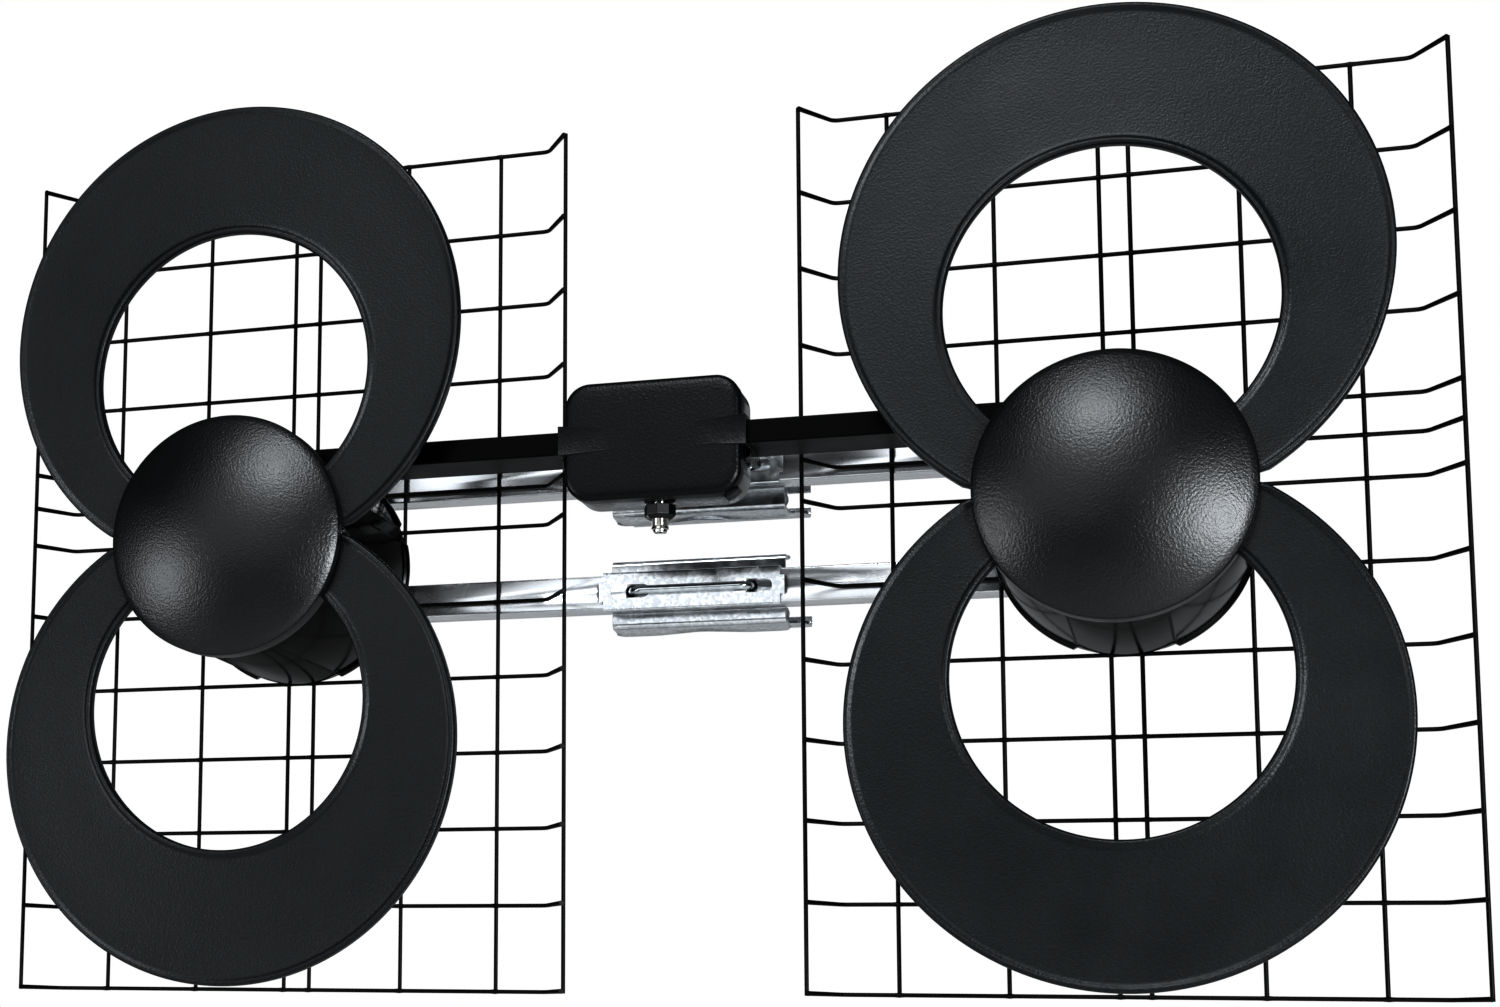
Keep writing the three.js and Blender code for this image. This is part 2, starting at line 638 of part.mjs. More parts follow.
for (const [tag, x] of [['left', -PANEL_X], ['right', PANEL_X]]) {
  const side = Math.sign(x);
  array.add(mesh(`${tag}_reflector`, reflector(x), 'blackWire'));
  for (const [level, up] of [['upper', 1], ['lower', -1]]) {
    array.add(mesh(`${tag}_${level}_loop`, loop(x, up), 'blackPaint'));
    for (const [end, s] of [['a', -1], ['b', 1]]) {
      array.add(mesh(`${tag}_${level}_loop_screw_${end}`,
        screwY(x + s * TERMINAL_X, up * TERMINAL_Z, LOOP_FRONT_Y - GAP, 3.6, 2.4,
          LOOP_SCREW_R, -108), 'zinc'));
    }
    array.add(mesh(`${tag}_${level}_hub_screw`,
      screwY(x, hubScrewHeight(level), BOOM_FRONT_Y + BOOM + GAP, 4.2, 2.8, 1.75, -20), 'zinc'));
  }
  array.add(mesh(`${tag}_dome_cover`, dome(x), 'blackPlastic'));
  array.add(mesh(`${tag}_hub_housing`, drum(x), 'blackPlastic'));
  array.add(mesh(`${tag}_hub_base`, hubBase(x), 'blackPlastic'));
  array.add(mesh(`${tag}_balun_board`, balunBoard(x), 'board'));
  array.add(mesh(`${tag}_feed_bar`, feedBar(side), 'blackPlastic'));
  array.add(mesh(`${tag}_phasing_line`, phasingLine(side), 'cable'));
  array.add(mesh(`${tag}_bar_screw`,
    screwY(side * BOSS_X, BOSS_Z, BOX_BACK_Y + GAP, 2.7, 2.2, 1.3, BOX_BACK_Y - 12), 'zinc'));
}

array.add(mesh('combiner_front_cover', frontCover(), 'blackPlastic'));
array.add(mesh('combiner_rear_shell', rearShell(), 'glossBlack'));
array.add(mesh('combiner_board', box(-34, 34, -84, -82.4, 18, 37.5), 'board'));
array.add(mesh('coax_socket', socket(), 'nickel'));
array.add(mesh('socket_boot', boot(), 'rubber'));

for (const level of ['upper', 'lower']) {
  const z = BOOM_Z[level];
  const jawZ = z + JAW_DZ[level];
  const frontWebY = BOOM_FRONT_Y + BOOM + GAP;
  const rearWebY = 2 * MAST_Y - frontWebY;
  array.add(mesh(`${level}_boom`, boom(level), 'aluminium'));
  array.add(mesh(`${level}_saddle_plate`, saddle(level), 'zinc'));
  array.add(mesh(`${level}_u_bolt`, uBolt(z), 'zinc'));
  array.add(mesh(`${level}_front_jaw`, jaw(FRONT_JAW, jawZ, frontWebY, 1, false), 'zinc'));
  array.add(mesh(`${level}_rear_jaw`, jaw(REAR_JAW, jawZ, rearWebY, -1, true), 'zinc'));
  for (const [end, s] of [['left', -1], ['right', 1]]) {
    array.add(mesh(`${level}_${end}_washer`, washer(s * ROD_X, z, rearWebY + GAP), 'zinc'));
    array.add(mesh(`${level}_${end}_nut`,
      nut(s * ROD_X, z, rearWebY + WASHER_T + 2 * GAP), 'zinc'));
  }
}

export default group;
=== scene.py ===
"""The looks of a four-loop UHF television antenna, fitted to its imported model.

Every length in the size classes is in millimetres, in the antenna's own layout: x = 0 midway
between the two hubs, y = 0 on the wire mesh, z = 0 at hub height. ``place`` turns such a point
into the frame's metres, whose origin is on the mast axis, midway between the two clamps.
"""

import logging
import math
from dataclasses import dataclass
from enum import Enum
from functools import partial
from typing import Callable, Sequence

import bmesh
import bpy
from mathutils import Matrix, Vector


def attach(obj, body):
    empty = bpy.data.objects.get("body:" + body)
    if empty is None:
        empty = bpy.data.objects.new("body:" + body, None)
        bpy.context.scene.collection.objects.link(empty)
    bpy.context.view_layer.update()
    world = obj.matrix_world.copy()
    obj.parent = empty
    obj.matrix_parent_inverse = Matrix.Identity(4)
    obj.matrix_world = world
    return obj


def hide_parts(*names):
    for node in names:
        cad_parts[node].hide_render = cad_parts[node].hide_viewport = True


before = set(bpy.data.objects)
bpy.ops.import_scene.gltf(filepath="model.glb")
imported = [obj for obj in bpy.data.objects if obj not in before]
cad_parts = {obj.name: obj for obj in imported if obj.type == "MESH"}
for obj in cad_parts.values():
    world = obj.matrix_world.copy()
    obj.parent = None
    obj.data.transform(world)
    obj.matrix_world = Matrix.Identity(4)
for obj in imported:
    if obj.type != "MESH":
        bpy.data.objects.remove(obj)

LOG = logging.getLogger("antenna")
MM = 0.001
MAST_Y = 60.85
MAST_Z = 16.3
PANEL_X = 241.0

Ring = list[Vector]
Triple = tuple[float, float, float]
Row = tuple[float, float] | Callable[[float], tuple[float, float]]


def place(x: float, y: float, z: float) -> Vector:
    """Turn a layout point into the frame.

    Args:
        x: Millimetres to the right of the middle.
        y: Millimetres behind the wire mesh.
        z: Millimetres above the hubs.

    Returns:
        The point in metres, in the frame.
    """
    return Vector((x * MM, (y - MAST_Y) * MM, (z - MAST_Z) * MM))


def linear(code: str) -> tuple[float, float, float, float]:
    """Turn an sRGB hex colour into linear RGBA.

    Args:
        code: Six hex digits after a #.

    Returns:
        Linear red, green, blue and an alpha of one.
    """
    def channel(index: int) -> float:
        """Read one channel, two digits from ``index``."""
        value = int(code[index:index + 2], 16) / 255
        return value / 12.92 if value <= 0.04045 else ((value + 0.055) / 1.055) ** 2.4

    return channel(1), channel(3), channel(5), 1.0


def grain(size_mm: float) -> float:
    """Give the texture scale whose features are about a given size.

    Args:
        size_mm: Real size of one feature.

    Returns:
        The scale input of a texture node fed with object coordinates.
    """
    return 1.0 / (size_mm * MM)


class Tagged(Enum):
    """An option that appears in node names."""

    @property
    def tag(self) -> str:
        """The option's name in node names."""
        return self.name.lower()


class Side(Tagged):
    """The two halves of the array."""

    LEFT = -1
    RIGHT = 1

    @property
    def x(self) -> float:
        """Place of the half's hub along X."""
        return self.value * PANEL_X


class Level(Tagged):
    """The two levels of loops, booms and clamps."""

    UPPER = 1
    LOWER = -1

    @property
    def boom_z(self) -> float:
        """Height of the boom's middle on this level."""
        return 52.0 if self is Level.UPPER else -19.4

    @property
    def jaw_z(self) -> float:
        """Height of the jaws' middle on this level."""
        return 50.5 if self is Level.UPPER else -17.6


# ---------------------------------------------------------------- finishes


def add_node(tree: bpy.types.NodeTree, kind: str, settings: dict | None = None,
             links: dict | None = None) -> bpy.types.Node:
    """Add one node with its settings and links.

    Args:
        tree: The tree it goes into.
        kind: The node's type name.
        settings: Attributes, or input names with their values.
        links: Input name or index to (node, output name or index).

    Returns:
        The new node.
    """
    node = tree.nodes.new(kind)
    for key, value in (settings or {}).items():
        if isinstance(key, str) and hasattr(node, key):
            setattr(node, key, value)
        else:
            node.inputs[key].default_value = value
    for key, (source, output) in (links or {}).items():
        tree.links.new(source.outputs[output], node.inputs[key])
    return node


class ShaderGraph:
    """A material's node tree, grown one node at a time."""

    def __init__(self, name: str) -> None:
        """Start an empty material.

        Args:
            name: The material's name.
        """
        self.material = bpy.data.materials.new(name)
        self.material.use_nodes = True
        self.tree = self.material.node_tree
        self.tree.nodes.clear()
        self.add = partial(add_node, self.tree)
        self.shader = self.add("ShaderNodeBsdfPrincipled")
        self.add("ShaderNodeOutputMaterial", links={"Surface": (self.shader, "BSDF")})
        self.place = self.add("ShaderNodeTexCoord")

    def stretched(self, scale: Sequence[float]) -> bpy.types.Node:
        """Object coordinates stretched along the axes.

        Args:
            scale: Factor on each axis.

        Returns:
            The mapping node.
        """
        return self.add("ShaderNodeMapping", {"Scale": tuple(scale)},
                        {"Vector": (self.place, "Object")})

    def noise(self, size_mm: float, detail: float = 3.0,
              source: bpy.types.Node | None = None) -> bpy.types.Node:
        """Noise of a real size.

        Args:
            size_mm: Size of one feature.
            detail: Octaves.
            source: Mapping node to read, or none for plain object coordinates.

        Returns:
            The noise node.
        """
        link = (source, "Vector") if source else (self.place, "Object")
        return self.add("ShaderNodeTexNoise", {"Scale": grain(size_mm), "Detail": detail},
                        {"Vector": link})

    def spread(self, node: bpy.types.Node, low: float, high: float,
               output: str = "Fac") -> bpy.types.Node:
        """Stretch a texture's middle range onto low to high.

        Args:
            node: The texture.
            low: Result at the dark end.
            high: Result at the bright end.
            output: The texture's output.

        Returns:
            The map range node.
        """
        return self.add("ShaderNodeMapRange", {"From Min": 0.3, "From Max": 0.7,
                                               "To Min": low, "To Max": high},
                        {"Value": (node, output)})

    def colour(self, finish: "Finish", shade: bpy.types.Node, wear: bpy.types.Node) -> None:
        """Set the colour between the finish's two shades, and the roughness.

        Args:
            finish: The finish.
            shade: The value that picks the shade, dark at 0.
            wear: The texture that spreads the roughness over its range.
        """
        mix = self.add("ShaderNodeMix", {"data_type": "RGBA", 6: linear(finish.dark),
                                         7: linear(finish.light)}, {"Factor": (shade, 0)})
        rough = self.spread(wear, *finish.roughness)
        self.tree.links.new(mix.outputs[2], self.shader.inputs["Base Color"])
        self.tree.links.new(rough.outputs[0], self.shader.inputs["Roughness"])

    def bump(self, layers: Sequence[tuple[bpy.types.Node, str, float, float]]) -> None:
        """Stack bump layers onto the shader's normal.

        Args:
            layers: (texture, output, strength, height in millimetres) each.
        """
        last = None
        for texture, output, strength, height in layers:
            links = {"Height": (texture, output)}
            if last:
                links["Normal"] = (last, "Normal")
            last = self.add("ShaderNodeBump", {"Strength": strength, "Distance": height * MM},
                            links)
        self.tree.links.new(last.outputs["Normal"], self.shader.inputs["Normal"])

    def fixed(self, **values: float) -> None:
        """Set constants on the shader's own sockets.

        Args:
            **values: Socket name with underscores for spaces, to value.
        """
        for key, value in values.items():
            self.shader.inputs[key.replace("_", " ")].default_value = value


@dataclass(frozen=True)
class Finish:
    """A surface finish that builds its material once."""

    name: str
    dark: str
    light: str
    roughness: tuple[float, float]

    def material(self) -> bpy.types.Material:
        """Give the finish's material, building it on first use.

        Returns:
            The material.
        """
        known = bpy.data.materials.get(self.name)
        if known:
            return known
        graph = ShaderGraph(self.name)
        self.paint(graph)
        return graph.material

    def paint(self, graph: ShaderGraph) -> None:
        """Fill in the shader.

        Args:
            graph: The empty material.
        """
        raise NotImplementedError


@dataclass(frozen=True)
class GrainedPolymer(Finish):
    """Injection-moulded or powder-coated black with a fine orange-peel grain.

    The grain breaks each highlight into a soft sparkle, which is what tells it from gloss paint.
    """

    grain_mm: float = 0.9
    height_mm: float = 0.05
    strength: float = 0.5
    specular: float = 0.5
    coat: float = 0.0

    def paint(self, graph: ShaderGraph) -> None:
        """Fill in the shader.

        Args:
            graph: The empty material.
        """
        fine = graph.noise(self.grain_mm, 2.0)
        broad = graph.noise(38.0, 2.0)
        graph.colour(self, graph.spread(fine, 0.0, 1.0), broad)
        graph.bump([(fine, "Fac", self.strength, self.height_mm), (broad, "Fac", 0.1, 0.1)])
        graph.fixed(Specular_IOR_Level=self.specular, Coat_Weight=self.coat, Coat_Roughness=0.22)


@dataclass(frozen=True)
class HotDipZinc(Finish):
    """Galvanised sheet steel: crystals a few millimetres wide, each with its own shine."""

    spangle_mm: float = 3.2

    def paint(self, graph: ShaderGraph) -> None:
        """Fill in the shader.

        Args:
            graph: The empty material.
        """
        crystals = graph.add("ShaderNodeTexVoronoi", {"Scale": grain(self.spangle_mm)},
                             {"Vector": (graph.place, "Object")})
        shade = graph.add("ShaderNodeSeparateColor", {}, {"Color": (crystals, "Color")})
        stain = graph.noise(9.0, 4.0)
        both = graph.add("ShaderNodeMath", {"operation": "MULTIPLY"},
                         {0: (graph.spread(shade, 0.6, 1.0, "Red"), 0),
                          1: (graph.spread(stain, 0.5, 1.0), 0)})
        graph.colour(self, both, stain)
        scratch = graph.noise(0.8, 3.0, graph.stretched((0.15, 1.0, 1.0)))
        graph.bump([(shade, "Green", 0.15, 0.012), (scratch, "Fac", 0.15, 0.02)])
        graph.fixed(Metallic=1.0)


@dataclass(frozen=True)
class DrawnAluminium(Finish):
    """Drawn tube: die lines run the length of the boom and smear the reflections across it."""

    line_mm: float = 0.35

    def paint(self, graph: ShaderGraph) -> None:
        """Fill in the shader.

        Args:
            graph: The empty material.
        """
        lines = graph.noise(self.line_mm, 4.0, graph.stretched((0.004, 1.0, 1.0)))
        cloud = graph.noise(22.0, 3.0, graph.stretched((0.3, 1.0, 1.0)))
        graph.colour(self, graph.spread(cloud, 0.0, 1.0), cloud)
        graph.bump([(lines, "Fac", 0.25, 0.012)])
        graph.fixed(Metallic=1.0, Anisotropic=0.4)


@dataclass(frozen=True)
class PlatedMetal(Finish):
    """Bright plated or machined metal with light tool marks."""

    def paint(self, graph: ShaderGraph) -> None:
        """Fill in the shader.

        Args:
            graph: The empty material.
        """
        marks = graph.noise(0.5, 3.0)
        cloud = graph.noise(4.0, 2.0)
        graph.colour(self, graph.spread(cloud, 0.0, 1.0), cloud)
        graph.bump([(marks, "Fac", 0.12, 0.02)])
        graph.fixed(Metallic=1.0)


@dataclass(frozen=True)
class BoardLaminate(Finish):
    """Solder mask over copper: tracks show as slightly lighter, raised bands."""

    def paint(self, graph: ShaderGraph) -> None:
        """Fill in the shader.

        Args:
            graph: The empty material.
        """
        tracks = graph.add("ShaderNodeTexBrick", {"Scale": grain(14.0)},
                           {"Vector": (graph.place, "Object")})
        graph.colour(self, tracks, graph.noise(3.0))
        graph.bump([(tracks, "Fac", 0.3, 0.05)])


LOOP_COAT = GrainedPolymer("powder_coated_sheet_steel", "#020405", "#0a0f12", (0.36, 0.44),
                           grain_mm=1.2, height_mm=0.2, strength=1.0, specular=0.3)
DOME_SKIN = GrainedPolymer("moulded_dome_fine_grain", "#010202", "#040506", (0.3, 0.36),
                           grain_mm=1.3, height_mm=0.19, strength=1.0, specular=0.5)
HOUSING_SKIN = GrainedPolymer("moulded_housing_semi_gloss", "#010101", "#020202", (0.14, 0.18),
                              grain_mm=1.1, height_mm=0.02, strength=0.4, specular=0.16)
BAR_SKIN = GrainedPolymer("extruded_duct_satin", "#010101", "#020203", (0.3, 0.38),
                          grain_mm=1.5, height_mm=0.03, strength=0.3, specular=0.05)
COVER_SKIN = GrainedPolymer("moulded_cover_matt_grain", "#020303", "#07090a", (0.3, 0.38),
                            grain_mm=1.5, height_mm=0.2, strength=1.0, specular=0.18)
SHELL_SKIN = GrainedPolymer("moulded_shell_gloss", "#010101", "#030303", (0.12, 0.18),
                            grain_mm=2.4, height_mm=0.03, strength=0.3, specular=0.6)
WIRE_COAT = GrainedPolymer("dip_coated_steel_wire", "#010101", "#020202", (0.4, 0.5),
                           grain_mm=1.5, height_mm=0.06, strength=0.4, specular=0.12)
BOOT_RUBBER = GrainedPolymer("moulded_rubber_boot", "#010101", "#030303", (0.3, 0.4),
                             grain_mm=0.8, height_mm=0.03, strength=0.5, specular=0.4)
CABLE_JACKET = GrainedPolymer("extruded_cable_jacket", "#050505", "#0a0a0a", (0.45, 0.55),
                              grain_mm=1.0, height_mm=0.02, strength=0.3)
ZINC_SHEET = HotDipZinc("hot_dip_galvanised_sheet", "#9da1a4", "#eef0f2", (0.14, 0.26),
                        spangle_mm=1.7)
ZINC_BOLT = PlatedMetal("zinc_plated_steel_rod", "#b9bec2", "#e6eaed", (0.12, 0.2))
NICKEL = PlatedMetal("nickel_plated_brass", "#bdbbb6", "#eceae6", (0.08, 0.16))
BOOM_METAL = DrawnAluminium("drawn_aluminium_tube", "#dfe1e3", "#f4f5f6", (0.22, 0.32))
BOARD = BoardLaminate("circuit_board_solder_mask", "#0d3b20", "#1c6b3a", (0.35, 0.5))


# ---------------------------------------------------------------- mesh code


class MeshBuilder:
    """Collects lofted skins and turns them into one object."""

    def __init__(self) -> None:
        """Start with nothing."""
        self.verts: list[Vector] = []
        self.faces: list[tuple[int, ...]] = []

    def loft(self, rings: Sequence[Ring], wrap: bool = True, cap: bool = True,
             closed: bool = False, skip: Callable[[int, int], bool] | None = None) -> None:
        """Skin a row of equal-length rings.

        Args:
            rings: The sections, in order.
            wrap: Join each section's last point to its first.
            cap: Close the two ends with one face each.
            closed: Join the last section to the first.
            skip: (section, point) pairs whose face is left out.
        """
        base = len(self.verts)
        size = len(rings[0])
        for ring in rings:
            self.verts.extend(ring)
        count = len(rings)
        for i in range(count if closed else count - 1):
            a = base + i * size
            b = base + ((i + 1) % count) * size
            for j in range(size if wrap else size - 1):
                if skip and skip(i, j):
                    continue
                k = (j + 1) % size
                self.faces.append((a + j, a + k, b + k, b + j))
        if cap and not closed and wrap:
            self.faces.append(tuple(base + j for j in reversed(range(size))))
            self.faces.append(tuple(base + (count - 1) * size + j for j in range(size)))

    def turned(self, rows: Sequence[Row], centre: tuple[float, float], segments: int = 64,
               upright: bool = False, closed: bool = False, start: float = 0.0) -> None:
        """Turn a profile about an axis along Y, or upright along Z.

        Args:
            rows: (radius, place along the axis) points in millimetres, or functions that give
                such a point at an angle in radians.
            centre: The axis: (x, z), or (x, y) if upright.
            segments: Facets around.
            upright: True for an axis along Z.
            closed: True where the profile closes on itself.
            start: Facets to turn the first point by.
        """
        rings = []
        for row in rows:
            ring = []
            for i in range(segments):
                a = 2 * math.pi * (i + start) / segments
                radius, along = row(a) if callable(row) else row
                u = centre[0] + radius * math.cos(a)
                v = centre[1] + radius * math.sin(a)
                ring.append(place(u, v, along) if upright else place(u, along, v))
            rings.append(ring)
        self.loft(rings, closed=closed, cap=not closed)

    def tube(self, path: Sequence[Triple], radii: Sequence[float],
             up: Vector, sides: int = 10) -> None:
        """Sweep a round section along a flat path.

        Args:
            path: Points in layout millimetres.
            radii: Radius at each point.
            up: Direction square to the path's plane.
            sides: Facets around.
        """
        rings = []
        points = [Vector(p) for p in path]
        for i, point in enumerate(points):
            ahead = points[min(i + 1, len(points) - 1)] - points[max(i - 1, 0)]
            across = ahead.normalized().cross(up).normalized()
            ring = []
            for k in range(sides):
                a = 2 * math.pi * k / sides
                ring.append(place(*(point + radii[i] * (math.cos(a) * across + math.sin(a) * up))))
            rings.append(ring)
        self.loft(rings)

    def block(self, low: Sequence[float], high: Sequence[float]) -> None:
        """Add a rectangular block between two layout corners, for a modifier to soften.

        Args:
            low: Lowest corner in millimetres.
            high: Highest corner in millimetres.
        """
        rings = []
        for x in (low[0], high[0]):
            rings.append([place(x, low[1], low[2]), place(x, high[1], low[2]),
                          place(x, high[1], high[2]), place(x, low[1], high[2])])
        self.loft(rings)

    def build(self, name: str, finish: Finish, sharp: float = 35.0) -> bpy.types.Object:
        """Make the object.

        Args:
            name: The object's name.
            finish: Its finish.
            sharp: Edges that turn more than this many degrees stay sharp.

        Returns:
            The object, linked to the scene.
        """
        mesh = bpy.data.meshes.new(name)
        mesh.from_pydata([tuple(v) for v in self.verts], [], self.faces)
        work = bmesh.new()
        work.from_mesh(mesh)
        bmesh.ops.recalc_face_normals(work, faces=work.faces)
        work.to_mesh(mesh)
        work.free()
        mesh.shade_smooth()
        mesh.set_sharp_from_angle(angle=math.radians(sharp))
        mesh.materials.append(finish.material())
        obj = bpy.data.objects.new(name, mesh)
        bpy.context.scene.collection.objects.link(obj)
        LOG.info("%s: %d faces, %s", name, len(self.faces), finish.name)
        return obj


def soften(obj: bpy.types.Object, width_mm: float, segments: int = 3) -> None:
    """Round an object's hard edges.

    Args:
        obj: The object.
        width_mm: Width of the rounding.
        segments: Steps across it.
    """
    bevel = obj.modifiers.new("edge_radius", "BEVEL")
    bevel.width = width_mm * MM
    bevel.segments = segments
    bevel.limit_method = "ANGLE"
    bevel.angle_limit = math.radians(40)
    bevel.harden_normals = True


def thicken(obj: bpy.types.Object, thickness_mm: float, offset: float,
            even: bool = True) -> None:
    """Give a skin its sheet thickness.

    Args:
        obj: The object.
        thickness_mm: The sheet's thickness.
        offset: -1 to grow inwards, 1 outwards, against the normals.
        even: Keep the thickness constant round corners.
    """
    solid = obj.modifiers.new("sheet_thickness", "SOLIDIFY")
    solid.thickness = thickness_mm * MM
    solid.offset = offset
    solid.use_even_offset = even


def settle(obj: bpy.types.Object, body: str, slot: str, *nodes: str) -> None:
    """Tie a piece to its body and hide the nodes that it stands for.

    Args:
        obj: The piece.
        body: The body it rides.
        slot: Name of a material slot; not used.
        *nodes: Nodes that it replaces.
    """
    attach(obj, body)
    if nodes:
        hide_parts(*nodes)


# ---------------------------------------------------------------- reflectors


@dataclass(frozen=True)
class ReflectorSize:
    """One welded wire panel."""

    wire: float = 1.2
    weld: float = 0.95
    columns: tuple[float, ...] = (8.1, 65.7, 124.8)
    pitch: float = 45.3
    half_height: float = 254.0
    extra_row: float = 46.5
    bend_x: float = 155.3
    edge_x: float = 171.0
    forward: float = 24.8
    bend_radius: float = 6.0
    weld_swell: float = 0.28
    weld_reach: float = 1.4
    weld_steps: tuple[float, ...] = (-3.0, -1.2, 0.0, 1.2, 3.0)
    edge_before: float = 1.6
    edge_after: float = 0.8


@dataclass
class WireReflector:
    """A wire panel with its two side flanges bent forward."""

    side: Side
    size: ReflectorSize = ReflectorSize()

    def rows(self) -> list[float]:
        """Heights of the cross wires.

        Returns:
            Millimetres above the hub.
        """
        s = self.size
        half = [(n + 0.5) * s.pitch for n in range(5)] + [s.half_height]
        return sorted(half + [-z for z in half] + [s.extra_row])

    def row_path(self, z: float) -> tuple[list[Triple], list[float]]:
        """One cross wire, bend to bend and out to its cut ends.

        Args:
            z: Its height.

        Returns:
            Path points, and the radius at each, swollen at the welds.
        """
        s = self.size
        slope = math.atan2(s.forward, s.edge_x - s.bend_x)
        reach = s.bend_radius * math.tan(slope / 2)
        half: list[tuple[float, float]] = []
        for x in s.columns:
            half += [(x + d, 0.0) for d in s.weld_steps]
        for step in range(6):
            a = slope * step / 5
            half.append((s.bend_x - reach + s.bend_radius * math.sin(a),
                         -s.bend_radius * (1 - math.cos(a))))
        for along in (-s.edge_before, 0.0, s.edge_after):
            half.append((s.edge_x + along * math.cos(slope),
                         -s.forward - along * math.sin(slope)))
        line = [(-u, v) for u, v in reversed(half)] + half
        welds = [c * sign for c in (*s.columns, s.edge_x) for sign in (-1, 1)]
        path, radii = [], []
        for u, v in line:
            near = min(abs(u - w) for w in welds)
            path.append((self.side.x + u, v - s.weld, z))
            radii.append(s.wire + s.weld_swell * math.exp(-(near / s.weld_reach) ** 2))
        return path, radii

    def build(self) -> None:
        """Make the panel."""
        s = self.size
        mesh = MeshBuilder()
        for z in self.rows():
            path, radii = self.row_path(z)
            mesh.tube(path, radii, Vector((0, 0, 1)))
        end = s.half_height + s.wire
        for sign in (-1, 1):
            uprights = [(c, s.weld) for c in s.columns]
            uprights.append((s.edge_x + s.weld, -s.forward + s.weld / 2))
            for u, y in uprights:
                x = self.side.x + sign * u
                mesh.tube([(x, y, -end), (x, y, 0), (x, y, end)], [s.wire] * 3, Vector((0, 1, 0)))
        panel = mesh.build(f"{self.side.tag}_wire_panel", WIRE_COAT, 60)
        settle(panel, "frame", "coated_wire", f"{self.side.tag}_reflector")


# ---------------------------------------------------------------- loops and hubs


@dataclass(frozen=True)
class LoopSize:
    """One tapered loop, pressed from sheet with rolled edges."""

    outer_r: float = 136.4
    outer_z: float = 118.6
    inner_r: float = 82.7
    inner_z: float = 96.4
    face_y: float = -123.0
    sheet: float = 0.9
    split: float = 2.5
    gap_degrees: float = 84.0
    hub_degrees: float = 57.0
    fade_degrees: float = 4.0
    fade: float = 0.92
    tip_flat: float = 0.6
    steps: int = 180
    inner_edge: tuple[tuple[float, float], ...] = (
        (0.0, 4.2), (0.0, 1.2), (0.15, -0.1), (0.7, -1.1), (1.7, -1.6), (2.8, -1.3),
        (3.8, -0.5), (4.8, -0.08), (6.2, 0.0))
    outer_edge: tuple[tuple[float, float], ...] = (
        (5.6, 0.0), (4.4, -0.1), (3.5, -0.55), (2.6, -1.1), (1.7, -1.3), (0.8, -0.95),
        (0.2, -0.1), (0.0, 1.0), (0.0, 4.6))


@dataclass
class TaperedLoop:
    """A C-shaped loop whose ends meet the terminals under the dome."""

    side: Side
    level: Level
    size: LoopSize = LoopSize()

    def section(self, degrees: float) -> Ring:
        """The pressed section at one angle about the loop.

        Args:
            degrees: Angle from the horizontal.

        Returns:
            Points from the inner edge to the outer edge.
        """
        s = self.size
        a = math.radians(degrees)
        inner = Vector((s.inner_r * math.cos(a), s.inner_z + s.inner_r * math.sin(a)))
        outer = Vector((s.outer_r * math.cos(a), s.outer_z + s.outer_r * math.sin(a)))
        if outer.y < s.split:
            outer = inner.lerp(outer, (inner.y - s.split) / (inner.y - outer.y))
        width = (outer - inner).length
        across = (outer - inner) / width
        below = -degrees if degrees < 90 else degrees - 180
        relief = 1.0 - min(max((below - s.hub_degrees) / s.fade_degrees, 0.0), s.fade)
        shift = min(1.0, (width / 2 - s.tip_flat) / s.inner_edge[-1][0])
        points = [(u * shift, y * relief) for u, y in s.inner_edge]
        points += [(width * t, 0.0) for t in (0.35, 0.5, 0.65)]
        points += [(width - u * shift, y * relief) for u, y in s.outer_edge]
        result = []
        for u, y in points:
            p = inner + across * u
            result.append(place(self.side.x + p.x, s.face_y + y,
                                self.level.value * p.y))
        return result

    def build(self) -> None:
        """Make the loop."""
        s = self.size
        sweep = 180 + 2 * s.gap_degrees
        rings = [self.section(-s.gap_degrees + sweep * i / s.steps) for i in range(s.steps + 1)]
        mesh = MeshBuilder()
        mesh.loft(rings, wrap=False)
        name = f"{self.side.tag}_{self.level.tag}"
        loop = mesh.build(f"{name}_pressed_loop", LOOP_COAT, 60)
        facing = sum((p.normal.y for p in loop.data.polygons), 0.0)
        thicken(loop, s.sheet, -1.0 if facing < 0 else 1.0, even=False)
        settle(loop, "frame", "painted_sheet", f"{name}_loop")


@dataclass(frozen=True)
class DomeSize:
    """The cap over a hub."""

    radius: float = 69.5
    rim_y: float = -129.0
    apex_y: float = -146.0
    lip_y: float = -118.6
    short_lip_y: float = -125.0
    wall: float = 2.4
    shoulder: float = 2.2
    shoulder_rise: float = 0.9
    face_radii: tuple[float, ...] = (0.6, 6, 14, 23, 32, 41, 49, 56, 61.5, 65)
    back_radii: tuple[float, ...] = (50, 25, 0.6)
    facets: int = 384


